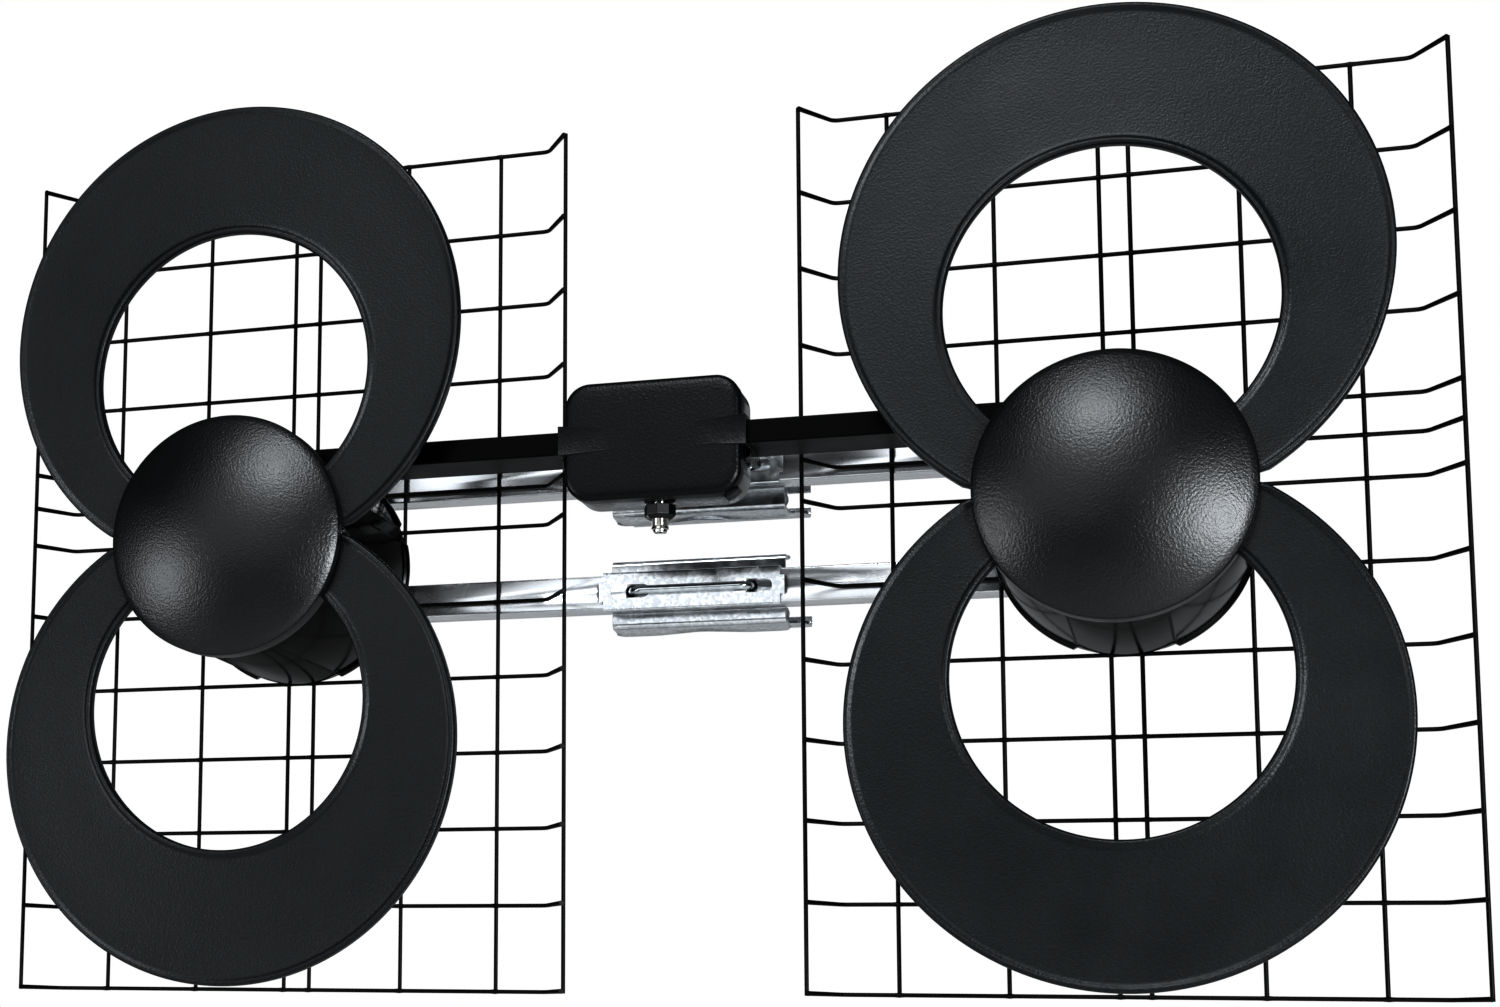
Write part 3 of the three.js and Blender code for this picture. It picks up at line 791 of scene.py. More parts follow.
@dataclass
class DomeCover:
    """A shallow moulded dome whose lip is notched where the loops pass."""

    side: Side
    size: DomeSize = DomeSize()
    loop: LoopSize = LoopSize()

    def over_loop(self, angle: float) -> bool:
        """Tell whether a loop passes the lip at an angle.

        Args:
            angle: Radians about the hub.

        Returns:
            True over a loop.
        """
        x = self.size.radius * math.cos(angle)
        z = abs(self.size.radius * math.sin(angle))
        inside = math.hypot(x, z - self.loop.outer_z) < self.loop.outer_r + 0.6
        return inside and math.hypot(x, z - self.loop.inner_z) > self.loop.inner_r - 0.6

    def cap_y(self, r: float) -> float:
        """The dome's height at a radius.

        Args:
            r: Distance from the hub axis.

        Returns:
            The place along Y.
        """
        s = self.size
        rise = s.rim_y - s.apex_y
        ball = (s.radius ** 2 + rise ** 2) / (2 * rise)
        return s.apex_y + ball - math.sqrt(ball ** 2 - r ** 2)

    def lip(self, radius: float) -> Row:
        """The lip's edge, shorter over the loops.

        Args:
            radius: Its radius.

        Returns:
            A function from an angle to (radius, place along Y).
        """
        s = self.size
        return lambda a: (radius, s.short_lip_y if self.over_loop(a) else s.lip_y)

    def build(self) -> None:
        """Make the dome."""
        s = self.size
        rows: list[Row] = [(r, self.cap_y(r)) for r in s.face_radii]
        for step in range(1, 5):
            a = math.radians(20 + 70 * step / 4)
            rows.append((s.radius - s.shoulder * (1 - math.sin(a)),
                         s.rim_y + s.shoulder * (1 - math.cos(a)) - s.shoulder_rise))
        inner = s.radius - s.wall
        rows += [self.lip(s.radius), self.lip(inner)]
        rows += [(r, self.cap_y(r) + s.wall) for r in (inner, *s.back_radii)]
        mesh = MeshBuilder()
        mesh.turned(rows, (self.side.x, 0.0), s.facets, start=0.5)
        dome = mesh.build(f"{self.side.tag}_dome", DOME_SKIN, 40)
        settle(dome, "frame", "black_plastic", f"{self.side.tag}_dome_cover")


@dataclass(frozen=True)
class DrumSize:
    """The tapered drum that stands the hub off the mesh."""

    front_r: float = 66.4
    back_r: float = 68.4
    front_y: float = -117.5
    back_y: float = -2.4
    wall: float = 2.4
    mouth_r: float = 20.0
    facets: int = 288
    flange: float = 4.0
    foot_notch: float = 23.0
    clip_at: float = 18.0
    clip_half: float = 5.0


@dataclass
class HubHousing:
    """The drum with its notched base flange."""

    side: Side
    size: DrumSize = DrumSize()

    def notched(self, angle: float) -> bool:
        """Tell whether the flange is cut away at an angle.

        Args:
            angle: Radians about the hub.

        Returns:
            True in a notch.
        """
        s = self.size
        degrees = math.degrees(angle) % 360
        foot = min(abs(degrees - 90), abs(degrees - 270)) < s.foot_notch
        clip = min(abs(degrees - s.clip_at), abs(degrees - 180 + s.clip_at)) < s.clip_half
        return foot or clip

    def rim(self, out: float, y: float) -> Row:
        """One line round the base flange, drawn in to the drum at the notches.

        Args:
            out: How far it stands out from the drum.
            y: Its place along Y.

        Returns:
            A function from an angle to (radius, place along Y).
        """
        return lambda a: (self.size.back_r + (0.0 if self.notched(a) else out), y)

    def build(self) -> None:
        """Make the drum."""
        s = self.size
        knee = s.back_y - s.flange
        rows: list[Row] = [
            (s.mouth_r, s.front_y), (s.front_r - 3, s.front_y), (s.front_r - 1, s.front_y + 0.7),
            (s.front_r, s.front_y + 3), (s.back_r - 0.15, knee - 1.2)]
        rows += [self.rim(1.0, knee - 0.5), self.rim(1.7, knee), self.rim(1.9, knee + 0.7),
                 self.rim(1.9, s.back_y - 0.5), self.rim(1.4, s.back_y)]
        rows += [(s.back_r - s.wall, s.back_y), (s.front_r - s.wall, s.front_y + s.wall),
                 (s.mouth_r, s.front_y + s.wall)]
        mesh = MeshBuilder()
        mesh.turned(rows, (self.side.x, 0.0), s.facets, start=0.5)
        drum = mesh.build(f"{self.side.tag}_drum", HOUSING_SKIN, 40)
        settle(drum, "frame", "black_plastic", f"{self.side.tag}_hub_housing")


# ---------------------------------------------------------------- feed bar and combiner


@dataclass(frozen=True)
class BarSize:
    """The duct from the combiner to a hub."""

    front_y: float = -100.0
    depth: float = 35.0
    middle_z: float = 46.6
    height: float = 13.0
    inner_x: float = 44.0
    outer_x: float = 209.0
    wall: float = 1.6
    edge: float = 0.9


@dataclass
class FeedBar:
    """A hollow rectangular duct with softened edges."""

    side: Side
    size: BarSize = BarSize()

    def build(self) -> None:
        """Make the bar."""
        s = self.size
        half = s.height / 2
        rings = []
        for inset, x in ((0.0, s.inner_x), (0.0, s.outer_x), (s.wall, s.outer_x),
                         (s.wall, s.inner_x)):
            y0, y1 = s.front_y + inset, s.front_y + s.depth - inset
            z0, z1 = s.middle_z - half + inset, s.middle_z + half - inset
            rings.append([place(self.side.value * x, y, z)
                          for y, z in ((y0, z0), (y1, z0), (y1, z1), (y0, z1))])
        mesh = MeshBuilder()
        mesh.loft(rings, closed=True)
        bar = mesh.build(f"{self.side.tag}_duct", BAR_SKIN)
        soften(bar, s.edge)
        settle(bar, "frame", "black_plastic", f"{self.side.tag}_feed_bar")


@dataclass(frozen=True)
class BoxSize:
    """The combiner box: a cover and a shell that meet at a parting line.

    Each of ``face`` is an inset and a depth behind the front. Each of ``latch_steps`` is a start
    and an end in degrees, a front, a back and a rise.
    """

    half_w: float = 49.0
    low_z: float = 12.7
    high_z: float = 79.0
    corner: float = 14.0
    front_y: float = -104.0
    part_y: float = -93.0
    back_y: float = -68.0
    wall: float = 2.0
    ear_half_w: float = 52.3
    ear_low_z: float = 38.6
    ear_high_z: float = 55.2
    ear_back_y: float = -63.0
    least_corner: float = 0.8
    arc_steps: int = 12
    seam: float = 0.1
    face: tuple[tuple[float, float], ...] = (
        (9.0, -0.25), (5.0, -0.1), (3.0, 0.1), (1.7, 0.5), (0.8, 1.2), (0.2, 2.2), (0.0, 3.4))
    ridge_tip_x: float = 7.0
    ridge_rise: float = 2.4
    ridge_sink: float = 0.3
    ridge_taper: float = 2.6
    ridge_root: float = 2.0
    cover_ear_root: float = 46.0
    shell_ear_root: float = 45.0
    ribs: int = 4
    rib_x: float = 51.0
    rib_half_w: float = 1.9
    rib_pitch: float = 6.1
    rib_width: float = 5.2
    rib_low_z: float = 33.4
    rib_high_z: float = 39.1
    boss_half_w: float = 1.4
    boss_low_z: float = 34.0
    boss_high_z: float = 39.0
    latch_seat: float = 1.2
    latch_steps: tuple[tuple[float, ...], ...] = (
        (-76, -40, -96.0, -85.5, 1.6), (-70, -47, -99.0, -96.4, 2.2))


@dataclass
class CombinerBox:
    """The box between the two ducts, with its ears, ridges and latch."""

    size: BoxSize = BoxSize()

    def skin(self, stations: Sequence[tuple[float, float]]) -> MeshBuilder:
        """Loft the rounded outline through a row of stations.

        Args:
            stations: (millimetres inside the box's edge, depth) each.

        Returns:
            The mesh so far.
        """
        s = self.size
        across, low, high = s.half_w - s.corner, s.low_z + s.corner, s.high_z - s.corner
        rings = []
        for inset, y in stations:
            r = max(s.corner - inset, s.least_corner)
            ring = []
            for cx, cz, start in ((across, low, -90), (across, high, 0), (-across, high, 90),
                                  (-across, low, 180)):
                for step in range(s.arc_steps + 1):
                    a = math.radians(start + 90 * step / s.arc_steps)
                    ring.append(place(cx + r * math.cos(a), y, cz + r * math.sin(a)))
            rings.append(ring)
        mesh = MeshBuilder()
        mesh.loft(rings)
        return mesh

    def cover(self) -> None:
        """Make the front cover with its two tapering ridges and half ears."""
        s = self.size
        f, part = s.front_y, s.part_y - s.seam
        mesh = self.skin([(inset, f + back) for inset, back in s.face] + [
            (0.0, s.part_y - 0.5), (0.4, part), (s.wall, part), (s.wall, f + 2.6),
            (9.0, f + 2.4)])
        mid, tall = (s.ear_low_z + s.ear_high_z) / 2, (s.ear_high_z - s.ear_low_z) / 2
        deep = f + s.ridge_root
        for sign in (-1, 1):
            rings = []
            for t in (0.0, 0.12, 0.35, 0.6, 0.82, 1.0):
                x = sign * (s.ear_half_w * (1 - t) + s.ridge_tip_x * t)
                rise = s.ridge_rise * (1 - t) - s.ridge_sink * t
                half = tall - s.ridge_taper * t
                top, low = mid + half, mid - half
                edge, crest = f - rise * 0.55 + 0.1, f - rise * 0.35
                rings.append([place(x, y, z) for y, z in (
                    (deep, low), (edge, low), (crest, low + 1.0), (crest, top - 1.0),
                    (edge, top), (deep, top))])
            mesh.loft(rings)
            low_x, high_x = sorted((sign * s.ear_half_w, sign * s.cover_ear_root))
            mesh.block((low_x, f + 0.4, s.ear_low_z), (high_x, part, s.ear_high_z))
        obj = mesh.build("combiner_cover_skin", COVER_SKIN)
        soften(obj, 0.4, 2)
        settle(obj, "frame", "black_plastic", "combiner_front_cover")

    def shell(self) -> None:
        """Make the rear shell with ears, ribs and screw bosses."""
        s = self.size
        b, inner = s.back_y, s.wall + 0.4
        mesh = self.skin([
            (inner, s.part_y + 2.0), (inner, s.part_y + 0.2), (0.8, s.part_y + 0.2),
            (0.4, s.part_y + 0.6), (0.4, b - 3.2), (0.7, b - 1.6), (1.8, b - 0.5), (3.4, b),
            (12.0, b), (12.0, b - s.wall), (inner, b - s.wall)])
        for sign in (-1, 1):
            low_x, high_x = sorted((sign * s.ear_half_w, sign * s.shell_ear_root))
            mesh.block((low_x, s.part_y + 0.2, s.ear_low_z), (high_x, s.ear_back_y, s.ear_high_z))
            x = sign * s.rib_x
            for rib in range(s.ribs):
                y = s.part_y + 1.0 + rib * s.rib_pitch
                mesh.block((x - s.rib_half_w, y, s.rib_low_z),
                           (x + s.rib_half_w, y + s.rib_width, s.rib_high_z))
            mesh.block((x - s.boss_half_w, s.part_y + 1, s.boss_low_z),
                       (x + s.boss_half_w, b, s.boss_high_z))
        obj = mesh.build("combiner_shell_skin", SHELL_SKIN)
        soften(obj, 0.5, 2)
        settle(obj, "frame", "gloss_plastic", "combiner_rear_shell")

    def latch(self) -> None:
        """Make the snap latch on the lower right corner."""
        s = self.size
        centre_x, centre_z = s.half_w - s.corner, s.low_z + s.corner
        seat = s.corner - s.latch_seat
        mesh = MeshBuilder()
        for low, high, y0, y1, rise in s.latch_steps:
            top = s.corner + rise
            rings = []
            for step in range(9):
                a = math.radians(low + (high - low) * step / 8)
                rings.append([place(centre_x + r * math.cos(a), y, centre_z + r * math.sin(a))
                              for r, y in ((seat, y0), (top, y0), (top, y1), (seat, y1))])
            mesh.loft(rings)
        obj = mesh.build("combiner_latch", COVER_SKIN)
        soften(obj, 0.6)
        settle(obj, "frame", "black_plastic")

    def build(self) -> None:
        """Make the whole box."""
        self.cover()
        self.shell()
        self.latch()


@dataclass(frozen=True)
class SocketSize:
    """The coaxial socket under the box."""

    y: float = -81.0
    radius: float = 4.75
    low_z: float = -3.0
    top_z: float = 15.0
    pitch: float = 0.79
    bore: float = 1.1
    thread_from: float = 3.2
    thread_depth: float = 0.45
    boot_r: float = 8.9
    boot_low_z: float = 4.3
    boot_high_z: float = 12.4


@dataclass
class CoaxSocket:
    """A threaded barrel in a black collar."""

    size: SocketSize = SocketSize()

    def barrel(self) -> None:
        """Make the barrel with its thread, end face and dielectric."""
        s = self.size
        groove = s.radius - s.thread_depth
        profile = [(s.bore, s.low_z + 2.5), (s.bore, s.low_z + 0.2), (2.9, s.low_z + 0.2),
                   (3.0, s.low_z), (s.radius - 1.5, s.low_z), (s.radius - 1.0, s.low_z + 0.5),
                   (s.radius - 0.9, s.low_z + 1.6), (s.radius, s.low_z + 2.0),
                   (s.radius, s.low_z + 2.9)]
        turns = int((s.boot_low_z + 1.5 - s.low_z - s.thread_from) / s.pitch)
        for turn in range(turns):
            z = s.low_z + s.thread_from + turn * s.pitch
            profile += [(groove, z), (s.radius, z + s.pitch * 0.5)]
        profile.append((s.radius - 0.3, s.top_z))
        mesh = MeshBuilder()
        mesh.turned(profile, (0.0, s.y), upright=True, segments=48)
        obj = mesh.build("socket_barrel", NICKEL, 25)
        settle(obj, "frame", "nickel", "coax_socket")

    def collar(self) -> None:
        """Make the eight-sided collar."""
        s = self.size
        mesh = MeshBuilder()
        mesh.turned([(s.radius + 0.3, s.boot_low_z + 0.2), (s.boot_r - 2.8, s.boot_low_z),
                     (s.boot_r, s.boot_low_z + 2.2), (s.boot_r, s.boot_high_z),
                     (s.radius + 0.3, s.boot_high_z)], (0.0, s.y), upright=True, segments=8,
                    closed=True)
        obj = mesh.build("socket_collar", BOOT_RUBBER, 20)
        soften(obj, 0.4)
        settle(obj, "frame", "black_rubber", "socket_boot")

    def build(self) -> None:
        """Make both pieces."""
        self.barrel()
        self.collar()


# ---------------------------------------------------------------- booms and clamps


@dataclass(frozen=True)
class BoomSize:
    """A square tube with clearance holes for the U-bolt."""

    width: float = 20.0
    wall: float = 1.6
    half_length: float = 285.0
    front_y: float = 2.35
    edge: float = 1.0
    hole_x: float = 35.3
    hole_r: float = 3.65


@dataclass
class Boom:
    """One of the two horizontal tubes behind the panels."""

    level: Level
    size: BoomSize = BoomSize()

    def stations(self) -> list[float]:
        """Places along X, close together at the holes.

        Returns:
            Sorted places.
        """
        s = self.size
        marks = {-s.half_length, -150.0, 0.0, 150.0, s.half_length}
        for sign in (-1, 1):
            for step in range(17):
                a = math.pi * step / 16
                marks.add(round(sign * s.hole_x - s.hole_r * math.cos(a), 4))
        return sorted(marks)

    def hole_half(self, x: float) -> float:
        """Half height of a hole at a place.

        Args:
            x: The place along X.

        Returns:
            Half height, or a hair off the holes.
        """
        s = self.size
        off = abs(abs(x) - s.hole_x)
        return max(math.sqrt(max(s.hole_r ** 2 - off ** 2, 0.0)), 0.1)

    def section(self, x: float) -> Ring:
        """The tube's outline at a place, starting above the front hole.

        Args:
            x: The place along X.

        Returns:
            The ring of points.
        """
        s = self.size
        h, e, hole = s.width / 2, s.edge, self.hole_half(x)
        quarter = [(e * (1 - math.cos(a)), h - e + e * math.sin(a))
                   for a in (math.radians(90 * i / 4) for i in range(5))]
        front_up = [(0.0, hole)] + quarter
        back_down = [(s.width - y, z) for y, z in reversed(front_up)]
        upper = front_up + back_down
        line = upper + [(y, -z) for y, z in reversed(upper)]
        return [place(x, s.front_y + y, self.level.boom_z + z) for y, z in line]

    def build(self) -> None:
        """Make the boom."""
        s = self.size
        places = self.stations()
        rings = [self.section(x) for x in places]
        back = len(rings[0]) // 2 - 1
        front = len(rings[0]) - 1

        def open_at(i: int, j: int) -> bool:
            """Tell whether face j after section i is open."""
            x = (places[i] + places[i + 1]) / 2
            return j in (back, front) and abs(abs(x) - s.hole_x) < s.hole_r

        mesh = MeshBuilder()
        mesh.loft(rings, cap=False, skip=open_at)
        boom = mesh.build(f"{self.level.tag}_square_tube", BOOM_METAL)
        facing = sum(p.normal.y * (p.center.y - place(0, s.front_y + s.width / 2, 0).y)
                     for p in boom.data.polygons)
        thicken(boom, s.wall, -1.0 if facing > 0 else 1.0)
        settle(boom, "frame", "aluminium_tube", f"{self.level.tag}_boom")


@dataclass(frozen=True)
class ChannelSize:
    """A pressed channel: a web with two flanges."""

    half_length: float
    half_height: float
    depth: float
    sheet: float
    bend: float
    slots: tuple[Triple, ...] = ()
    notch_depth: float = 0.0
    notch_half: float = 1.0
    notch_flat: float = 0.12
    corner: float = 0.0
    splay: float = 0.0
    tab: float = 0.0
    tab_half: float = 0.0


@dataclass
class PressedChannel:
    """A sheet channel lofted along X, with slots in its web and notches in its flanges.

    ``backward`` is 1 if the flanges point back and -1 if forward.
    """

    size: ChannelSize
    web_y: float
    middle_z: float
    backward: int

    def stations(self) -> list[float]:
        """Places along X, close together round the slot ends and the notch.

        Returns:
            Sorted places.
        """
        s = self.size
        marks = {round(s.half_length * (i / 24 - 1), 3) for i in range(49)}
        for low, high, half in s.slots:
            for end, inward in ((low, 1), (high, -1)):
                for step in range(7):
                    a = math.radians(90 * step / 6)
                    marks.add(round(end + inward * half * (1 - math.cos(a)), 3))
        for step in (-1.0, -s.notch_flat, s.notch_flat, 1.0):
            marks.add(round(step * s.notch_half, 3))
        for step in (0.0, 0.3, 0.6, 1.0):
            marks.update((s.half_length - s.corner * step, s.corner * step - s.half_length))
        kept = [m for m in marks if abs(m) <= s.half_length + 1e-6]
        if s.tab:
            kept += [-s.half_length - s.tab, s.half_length + s.tab]
        return sorted(kept)

    def slot_half(self, x: float) -> float:
        """Half height of the slot at a place.

        Args:
            x: The place along X.

        Returns:
            Half height, or a hair where there is no slot.
        """
        hair = 0.12
        for low, high, half in self.size.slots:
            if low < x < high:
                into = min(x - low, high - x, half)
                return max(math.sqrt(max(half ** 2 - (half - into) ** 2, 0.0)), hair)
        return hair

    def reach(self, x: float) -> float:
        """Flange depth at a place.

        Args:
            x: The place along X.

        Returns:
            Millimetres from the web's outer face.
        """
        s = self.size
        t = (abs(x) / s.notch_half - s.notch_flat) / (1 - s.notch_flat)
        cut = s.notch_depth * (1 - min(max(t, 0.0), 1.0))
        into = max(abs(x) - (s.half_length - s.corner), 0.0)
        rounded = s.corner - math.sqrt(max(s.corner ** 2 - into ** 2, 0.0)) if s.corner else 0.0
        return s.depth - cut - rounded

    def section(self, x: float) -> Ring:
        """The sheet's outer line at a place.

        Args:
            x: The place along X.

        Returns:
            Points from the lower flange's edge round to the upper one's.
        """
        s = self.size
        h, b = s.half_height, s.bend
        depth = self.reach(x)
        slot = self.slot_half(x)
        ledge = s.tab_half or (slot + h - b) * 0.5
        half: list[tuple[float, float]] = [(0.0, slot), (0.0, max(ledge, slot + 0.2))]
        for step in range(6):
            a = math.radians(90 * step / 5)
            half.append((b * (1 - math.cos(a)), h - b + b * math.sin(a)))
        for t in (0.35, 0.7, 1.0):
            y = b + (depth - b) * t
            half.append((y, h + s.splay * t * t))
        line = [(y, -z) for y, z in reversed(half)] + half
        return [place(x, self.web_y + self.backward * y, self.middle_z + z) for y, z in line]

    def build(self, name: str, body: str, node: str) -> None:
        """Make the channel.

        Args:
            name: The piece's name.
            body: The body it rides.
            node: The node it stands for.
        """
        places = self.stations()
        rings = [self.section(x) for x in places]
        middle = len(rings[0]) // 2 - 1

        def open_at(i: int, j: int) -> bool:
            """Tell whether face j after section i is open."""
            x = (places[i] + places[i + 1]) / 2
            past_end = abs(x) > self.size.half_length and abs(j - middle) > 1
            in_slot = j == middle and any(low < x < high for low, high, _ in self.size.slots)
            return past_end or in_slot

        mesh = MeshBuilder()
        mesh.loft(rings, wrap=False, skip=open_at)
        obj = mesh.build(name, ZINC_SHEET, 50)
        web = [p for p in obj.data.polygons if abs(p.normal.y) > 0.9]
        outward = sum(p.normal.y for p in web) * self.backward < 0
        thicken(obj, self.size.sheet, -1.0 if outward else 1.0)
        soften(obj, 0.25, 2)
        settle(obj, body, "zinc", node)


@dataclass(frozen=True)
class ClampSize:
    """A saddle, two jaws and a U-bolt."""

    rod: float = 2.45
    leg_x: float = 35.3
    bend: float = 7.0
    bridge_y: float = -1.9
    end_y: float = 114.0
    thread_from_y: float = 66.0
    plain_from_y: float = 30.0
    chamfer: float = 0.6
    pitch: float = 1.06
    thread_cut: tuple[float, ...] = (0.0, 0.16, 0.32, 0.16)
    nut_seat: float = 1.8
    nut_height: float = 4.2
    nut_flats: float = 8.0
    nut_bore: float = 2.75
    nut_face: float = 0.86
    nut_chamfer: float = 0.45
    washer_seat: float = 0.3
    washer_height: float = 1.2
    washer_r: float = 5.8
    washer_bore: float = 2.8
    washer_edge: float = 0.2
    saddle_y: float = 0.85
    front_web_y: float = 22.65
    rear_web_y: float = 99.05
    saddle: ChannelSize = ChannelSize(
        half_length=52.0, half_height=11.5, depth=5.0, sheet=1.2, bend=1.2,
        slots=((24.5, 47.5, 4.0), (-47.5, -24.5, 4.0)), tab=2.6, tab_half=5.6)
    front_jaw: ChannelSize = ChannelSize(
        half_length=51.6, half_height=20.5, depth=20.3, sheet=2.0, bend=3.2,
        slots=((29.0, 46.5, 6.3), (-46.5, -29.0, 6.3)), notch_depth=8.0, notch_half=27.0,
        corner=6.0, splay=1.6)
    rear_jaw: ChannelSize = ChannelSize(
        half_length=55.0, half_height=11.5, depth=20.3, sheet=2.0, bend=3.2,
        slots=((30.7, 90.0, 4.6), (-90.0, -30.7, 4.6)), notch_depth=8.0, notch_half=27.0,
        corner=6.0, splay=0.3)


@dataclass
class MastClamp:
    """One clamp: fixed half on the boom, sliding jaw and nuts behind."""

    level: Level
    size: ClampSize = ClampSize()

    def u_bolt(self) -> None:
        """Make the U-bolt with rolled threads on both legs."""
        s = self.size
        half: list[Triple] = [(s.leg_x, s.end_y, s.rod * 0.8)]
        first = s.end_y - s.chamfer
        step = s.pitch / 4
        for i in range(int((first - s.thread_from_y) / step)):
            half.append((s.leg_x, first - i * step, s.rod - s.thread_cut[i % 4]))
        half.append((s.leg_x, s.thread_from_y - 1.0, s.rod))
        half.append((s.leg_x, s.plain_from_y, s.rod))
        for i in range(9):
            a = math.radians(90 * i / 8)
            half.append((s.leg_x - s.bend * (1 - math.cos(a)),
                         s.bridge_y + s.bend * (1 - math.sin(a)), s.rod))
        full = half + [(-x, y, r) for x, y, r in reversed(half)]
        mesh = MeshBuilder()
        mesh.tube([(x, y, self.level.boom_z) for x, y, _ in full], [r for _, _, r in full],
                  Vector((0, 0, 1)), 16)
        obj = mesh.build(f"{self.level.tag}_threaded_u_bolt", ZINC_BOLT, 40)
        settle(obj, "frame", "zinc", f"{self.level.tag}_u_bolt")

    def nut(self, side: Side) -> None:
        """Make one chamfered hexagon nut.

        Args:
            side: Which leg.
        """
        s = self.size
        y0, y1 = s.rear_web_y + s.nut_seat, s.rear_web_y + s.nut_seat + s.nut_height
        corner = s.nut_flats / math.sqrt(3)

        def hexagon(scale: float, y: float) -> Row:
            """One section, its corners cut back to a share of their radius."""
            def at(angle: float) -> tuple[float, float]:
                """The section's point at an angle."""
                off = angle % (math.pi / 3) - math.pi / 6
                return min(s.nut_flats / 2 / math.cos(off), corner * scale), y

            return at

        rows: list[Row] = [hexagon(s.nut_face, y0), hexagon(1.0, y0 + s.nut_chamfer),
                           hexagon(1.0, y1 - s.nut_chamfer), hexagon(s.nut_face, y1)]
        mesh = MeshBuilder()
        mesh.turned(rows + [(s.nut_bore, y1), (s.nut_bore, y0)],
                    (side.value * s.leg_x, self.level.boom_z), 48, closed=True)
        name = f"{self.level.tag}_{side.tag}"
        obj = mesh.build(f"{name}_hex_nut", ZINC_BOLT, 25)
        settle(obj, f"{name}_nut_body", "zinc", f"{name}_nut")

    def washer(self, side: Side) -> None:
        """Make one washer.

        Args:
            side: Which leg.
        """
        s = self.size
        y0 = s.rear_web_y + s.washer_seat
        y1 = y0 + s.washer_height
        r, edge = s.washer_r, s.washer_edge
        mesh = MeshBuilder()
        mesh.turned([(s.washer_bore, y0), (r - edge, y0), (r, y0 + edge), (r, y1 - edge),
                     (r - edge, y1), (s.washer_bore, y1)],
                    (side.value * s.leg_x, self.level.boom_z), 48, closed=True)
        name = f"{self.level.tag}_{side.tag}"
        obj = mesh.build(f"{name}_flat_washer", ZINC_BOLT, 30)
        settle(obj, f"{self.level.tag}_jaw", "zinc", f"{name}_washer")

    def build(self) -> None:
        """Make the whole clamp."""
        s = self.size
        tag = self.level.tag
        for size, web_y, z, way, name, body, node in (
                (s.saddle, s.saddle_y, self.level.boom_z, 1, "saddle", "frame", "saddle_plate"),
                (s.front_jaw, s.front_web_y, self.level.jaw_z, 1, "front", "frame", "front_jaw"),
                (s.rear_jaw, s.rear_web_y, self.level.jaw_z, -1, "rear", f"{tag}_jaw",
                 "rear_jaw")):
            PressedChannel(size, web_y, z, way).build(f"{tag}_{name}_channel", body,
                                                      f"{tag}_{node}")
        self.u_bolt()
        for side in Side:
            self.washer(side)
            self.nut(side)


@dataclass(frozen=True)
class ScrewSize:
    """A pan-head screw."""

    head_r: float
    head_h: float
    shank_r: float
    length: float


@dataclass
class PanScrew:
    """A pan-head screw along Y, its head behind."""

    size: ScrewSize
    x: float
    seat_y: float
    z: float

    def build(self, name: str, node: str) -> None:
        """Make the screw.

        Args:
            name: The piece's name.
            node: The node it stands for.
        """
        s = self.size
        top = self.seat_y + s.head_h
        r = s.head_r
        mesh = MeshBuilder()
        mesh.turned([(0.3, top - 1.4), (0.9, top - 1.2), (1.5, top - 0.15), (r * 0.55, top),
                     (r * 0.8, top - s.head_h * 0.12), (r * 0.96, top - s.head_h * 0.4),
                     (r, self.seat_y + 0.3), (r * 0.97, self.seat_y), (s.shank_r, self.seat_y),
                     (s.shank_r, self.seat_y - s.length), (0.3, self.seat_y - s.length)],
                    (self.x, self.z), segments=40)
        obj = mesh.build(name, ZINC_BOLT, 35)
        settle(obj, "frame", "zinc", node)


class Fasteners:
    """The screws that show from behind."""

    HUB = ScrewSize(head_r=4.2, head_h=2.8, shank_r=1.75, length=42.0)
    HUB_SEAT_Y = 22.65
    HUB_HEIGHTS = {Level.UPPER: 52.0, Level.LOWER: -18.0}
    DUCT = ScrewSize(head_r=2.7, head_h=2.2, shank_r=1.3, length=12.0)
    DUCT_AT = (51.2, -67.7, 35.7)

    def build(self) -> None:
        """Make the hub screws and the duct screws."""
        x, y, z = self.DUCT_AT
        for side in Side:
            for level, height in self.HUB_HEIGHTS.items():
                name = f"{side.tag}_{level.tag}"
                PanScrew(self.HUB, side.x, self.HUB_SEAT_Y, height).build(
                    f"{name}_boom_screw", f"{name}_hub_screw")
            PanScrew(self.DUCT, side.value * x, y, z).build(
                f"{side.tag}_duct_screw", f"{side.tag}_bar_screw")


class InnerParts:
    """Carried-over nodes that need only their finish."""

    FINISHES: dict[str, Finish] = {
        "hub_base": HOUSING_SKIN, "balun_board": BOARD, "phasing_line": CABLE_JACKET,
        "upper_loop_screw_a": ZINC_BOLT, "upper_loop_screw_b": ZINC_BOLT,
        "lower_loop_screw_a": ZINC_BOLT, "lower_loop_screw_b": ZINC_BOLT,
    }

    def build(self) -> None:
        """Assign the finishes."""
        named = {f"{side.tag}_{key}": finish for side in Side
                 for key, finish in self.FINISHES.items()}
        named["combiner_board"] = BOARD
        for node, finish in named.items():
            material = finish.material()
            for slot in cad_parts[node].material_slots:
                slot.material = material
            LOG.info("%s keeps its shape: %s", node, finish.name)


# ---------------------------------------------------------------- studio


@dataclass(frozen=True)
class CameraSize:
    """The view: position in layout millimetres, angles in degrees, lens shift."""

    position: Triple = (290.37, -1412.60, -284.87)
    yaw: float = 20.05
    pitch: float = 7.82
    roll: float = -0.94
    lens: float = 59.73
    shift_x: float = 0.2833
    shift_y: float = 0.1312


@dataclass(frozen=True)
class SoftBox:
    """One large area light aimed at the hubs."""

    name: str
    position: Triple
    size: float
    watts: float


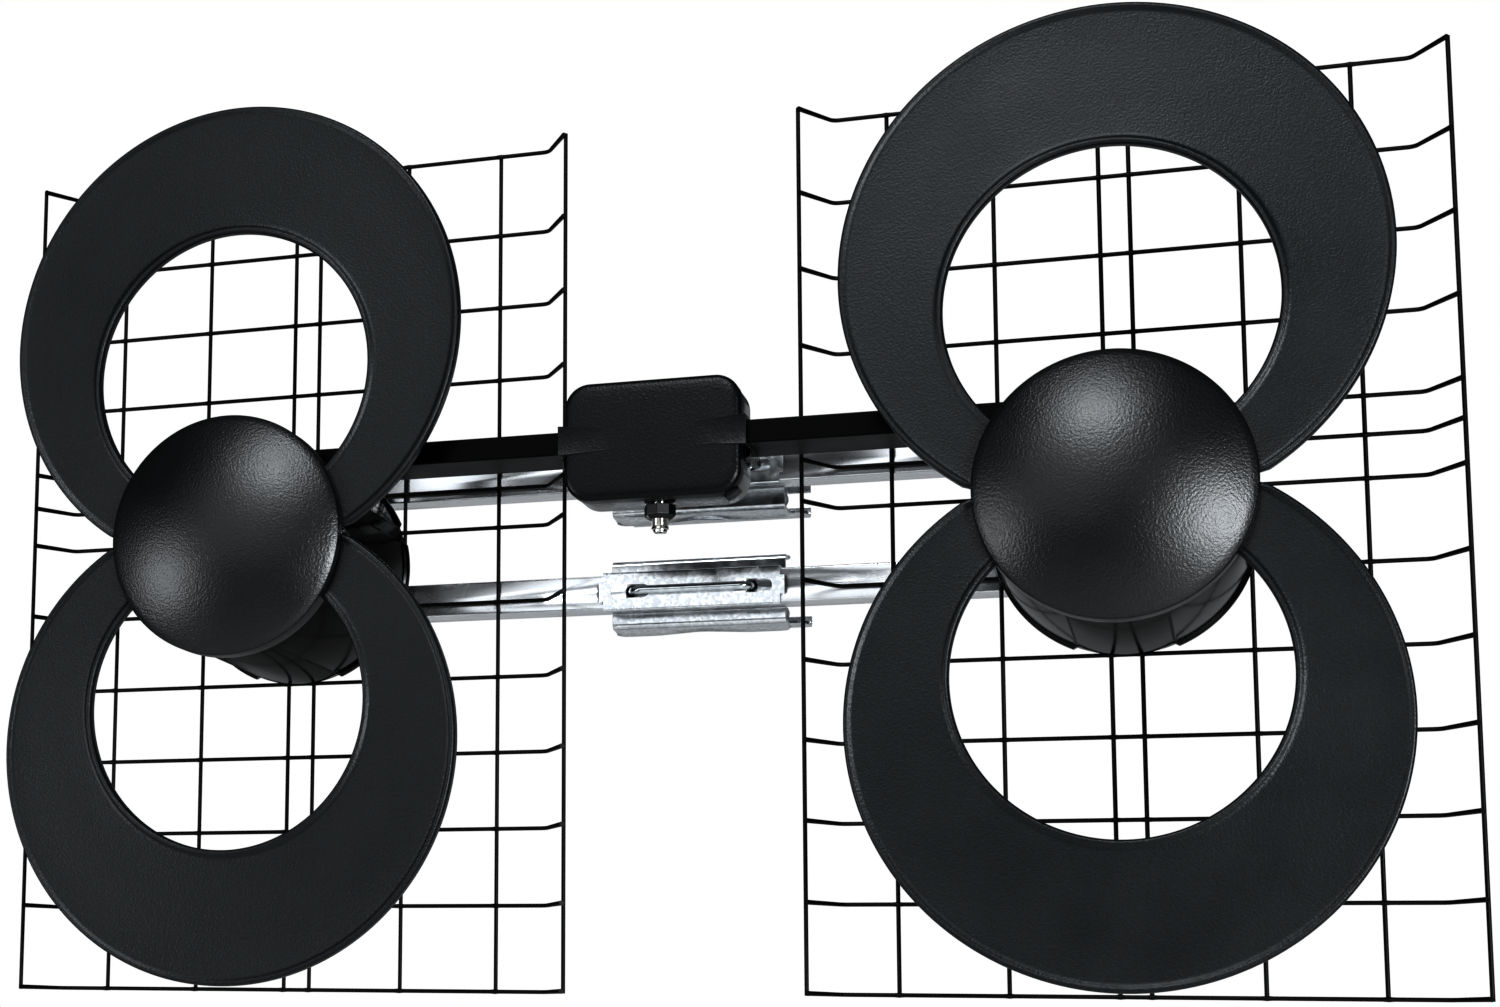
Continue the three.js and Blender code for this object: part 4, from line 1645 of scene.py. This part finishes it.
@dataclass(frozen=True)
class StudioSize:
    """Floor and light aim in metres, the surround's strength and the view's gamma."""

    floor_half: float = 4.0
    floor_z: float = -1.3
    aim: Triple = (0.0, -0.15, 0.0)
    surround: float = 0.08
    gamma: float = 0.72


@dataclass
class Studio:
    """Camera, lights, pale floor and white surround."""

    BOXES = (
        SoftBox("high_front", (-0.07, -2.0, 1.65), 1.0, 50.0),
        SoftBox("right_low", (1.86, -2.08, -0.25), 0.9, 100.0),
        SoftBox("left_low", (-1.95, -1.75, -0.25), 1.0, 30.0),
        SoftBox("front_panel", (-0.7, -3.0, 0.9), 2.6, 26.0),
        SoftBox("backdrop", (0.0, 2.6, -0.7), 3.4, 12.0),
    )

    camera: CameraSize = CameraSize()
    size: StudioSize = StudioSize()

    def add_camera(self) -> None:
        """Add the camera."""
        c = self.camera
        data = bpy.data.cameras.new("camera")
        data.lens = c.lens
        data.sensor_width = 36.0
        data.shift_x = c.shift_x
        data.shift_y = c.shift_y
        data.clip_start = 0.05
        turn = (Matrix.Rotation(math.radians(c.yaw), 4, "Z")
                @ Matrix.Rotation(math.radians(c.pitch), 4, "X")
                @ Matrix.Rotation(math.radians(c.roll), 4, "Y")
                @ Matrix.Rotation(math.radians(90), 4, "X"))
        obj = bpy.data.objects.new("camera", data)
        obj.matrix_world = Matrix.Translation(place(*c.position)) @ turn
        bpy.context.scene.collection.objects.link(obj)
        bpy.context.scene.camera = obj

    def add_lights(self) -> None:
        """Add the soft boxes."""
        for box in self.BOXES:
            data = bpy.data.lights.new(box.name, "AREA")
            data.shape = "DISK"
            data.size = box.size
            data.energy = box.watts
            data.color = linear("#f7fbff")[:3]
            obj = bpy.data.objects.new(box.name, data)
            obj.visible_camera = False
            obj.location = box.position
            aim = Vector(self.size.aim) - obj.location
            obj.rotation_euler = aim.to_track_quat("-Z", "Y").to_euler()
            bpy.context.scene.collection.objects.link(obj)

    def add_surround(self) -> None:
        """Add the white surround, dimmer to reflections than to the eye."""
        world = bpy.data.worlds.new("studio")
        bpy.context.scene.world = world
        world.use_nodes = True
        world.node_tree.nodes.clear()
        add = partial(add_node, world.node_tree)
        seen = add("ShaderNodeBackground", {"Color": linear("#ffffff")})
        felt = add("ShaderNodeBackground", {"Color": linear("#f4f7fa"),
                                            "Strength": self.size.surround})
        path = add("ShaderNodeLightPath")
        mix = add("ShaderNodeMixShader", links={0: (path, "Is Camera Ray"), 1: (felt, 0),
                                                2: (seen, 0)})
        add("ShaderNodeOutputWorld", links={"Surface": (mix, 0)})

    def add_floor(self) -> None:
        """Add the pale floor, well below the antenna."""
        half, z = self.size.floor_half, self.size.floor_z
        mesh = MeshBuilder()
        mesh.loft([[Vector((-half, y, z)), Vector((half, y, z))] for y in (-half, half)],
                  wrap=False)
        floor_paint = GrainedPolymer("pale_studio_floor", "#e6e6e4", "#efefee", (0.7, 0.8),
                                     grain_mm=3.0, height_mm=0.1, strength=0.1)
        mesh.build("studio_floor", floor_paint)

    def build(self) -> None:
        """Make the studio."""
        self.add_camera()
        self.add_lights()
        self.add_surround()
        self.add_floor()
        view = bpy.context.scene.view_settings
        view.view_transform = "Standard"
        view.gamma = self.size.gamma


def main() -> None:
    """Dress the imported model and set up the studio."""
    logging.basicConfig(level=logging.INFO, format="%(name)s: %(message)s")
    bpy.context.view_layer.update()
    Studio().build()
    for side in Side:
        WireReflector(side).build()
        for level in Level:
            TaperedLoop(side, level).build()
        DomeCover(side).build()
        HubHousing(side).build()
        FeedBar(side).build()
    CombinerBox().build()
    CoaxSocket().build()
    for level in Level:
        Boom(level).build()
        MastClamp(level).build()
    Fasteners().build()
    InnerParts().build()


if __name__ == "__main__":
    main()
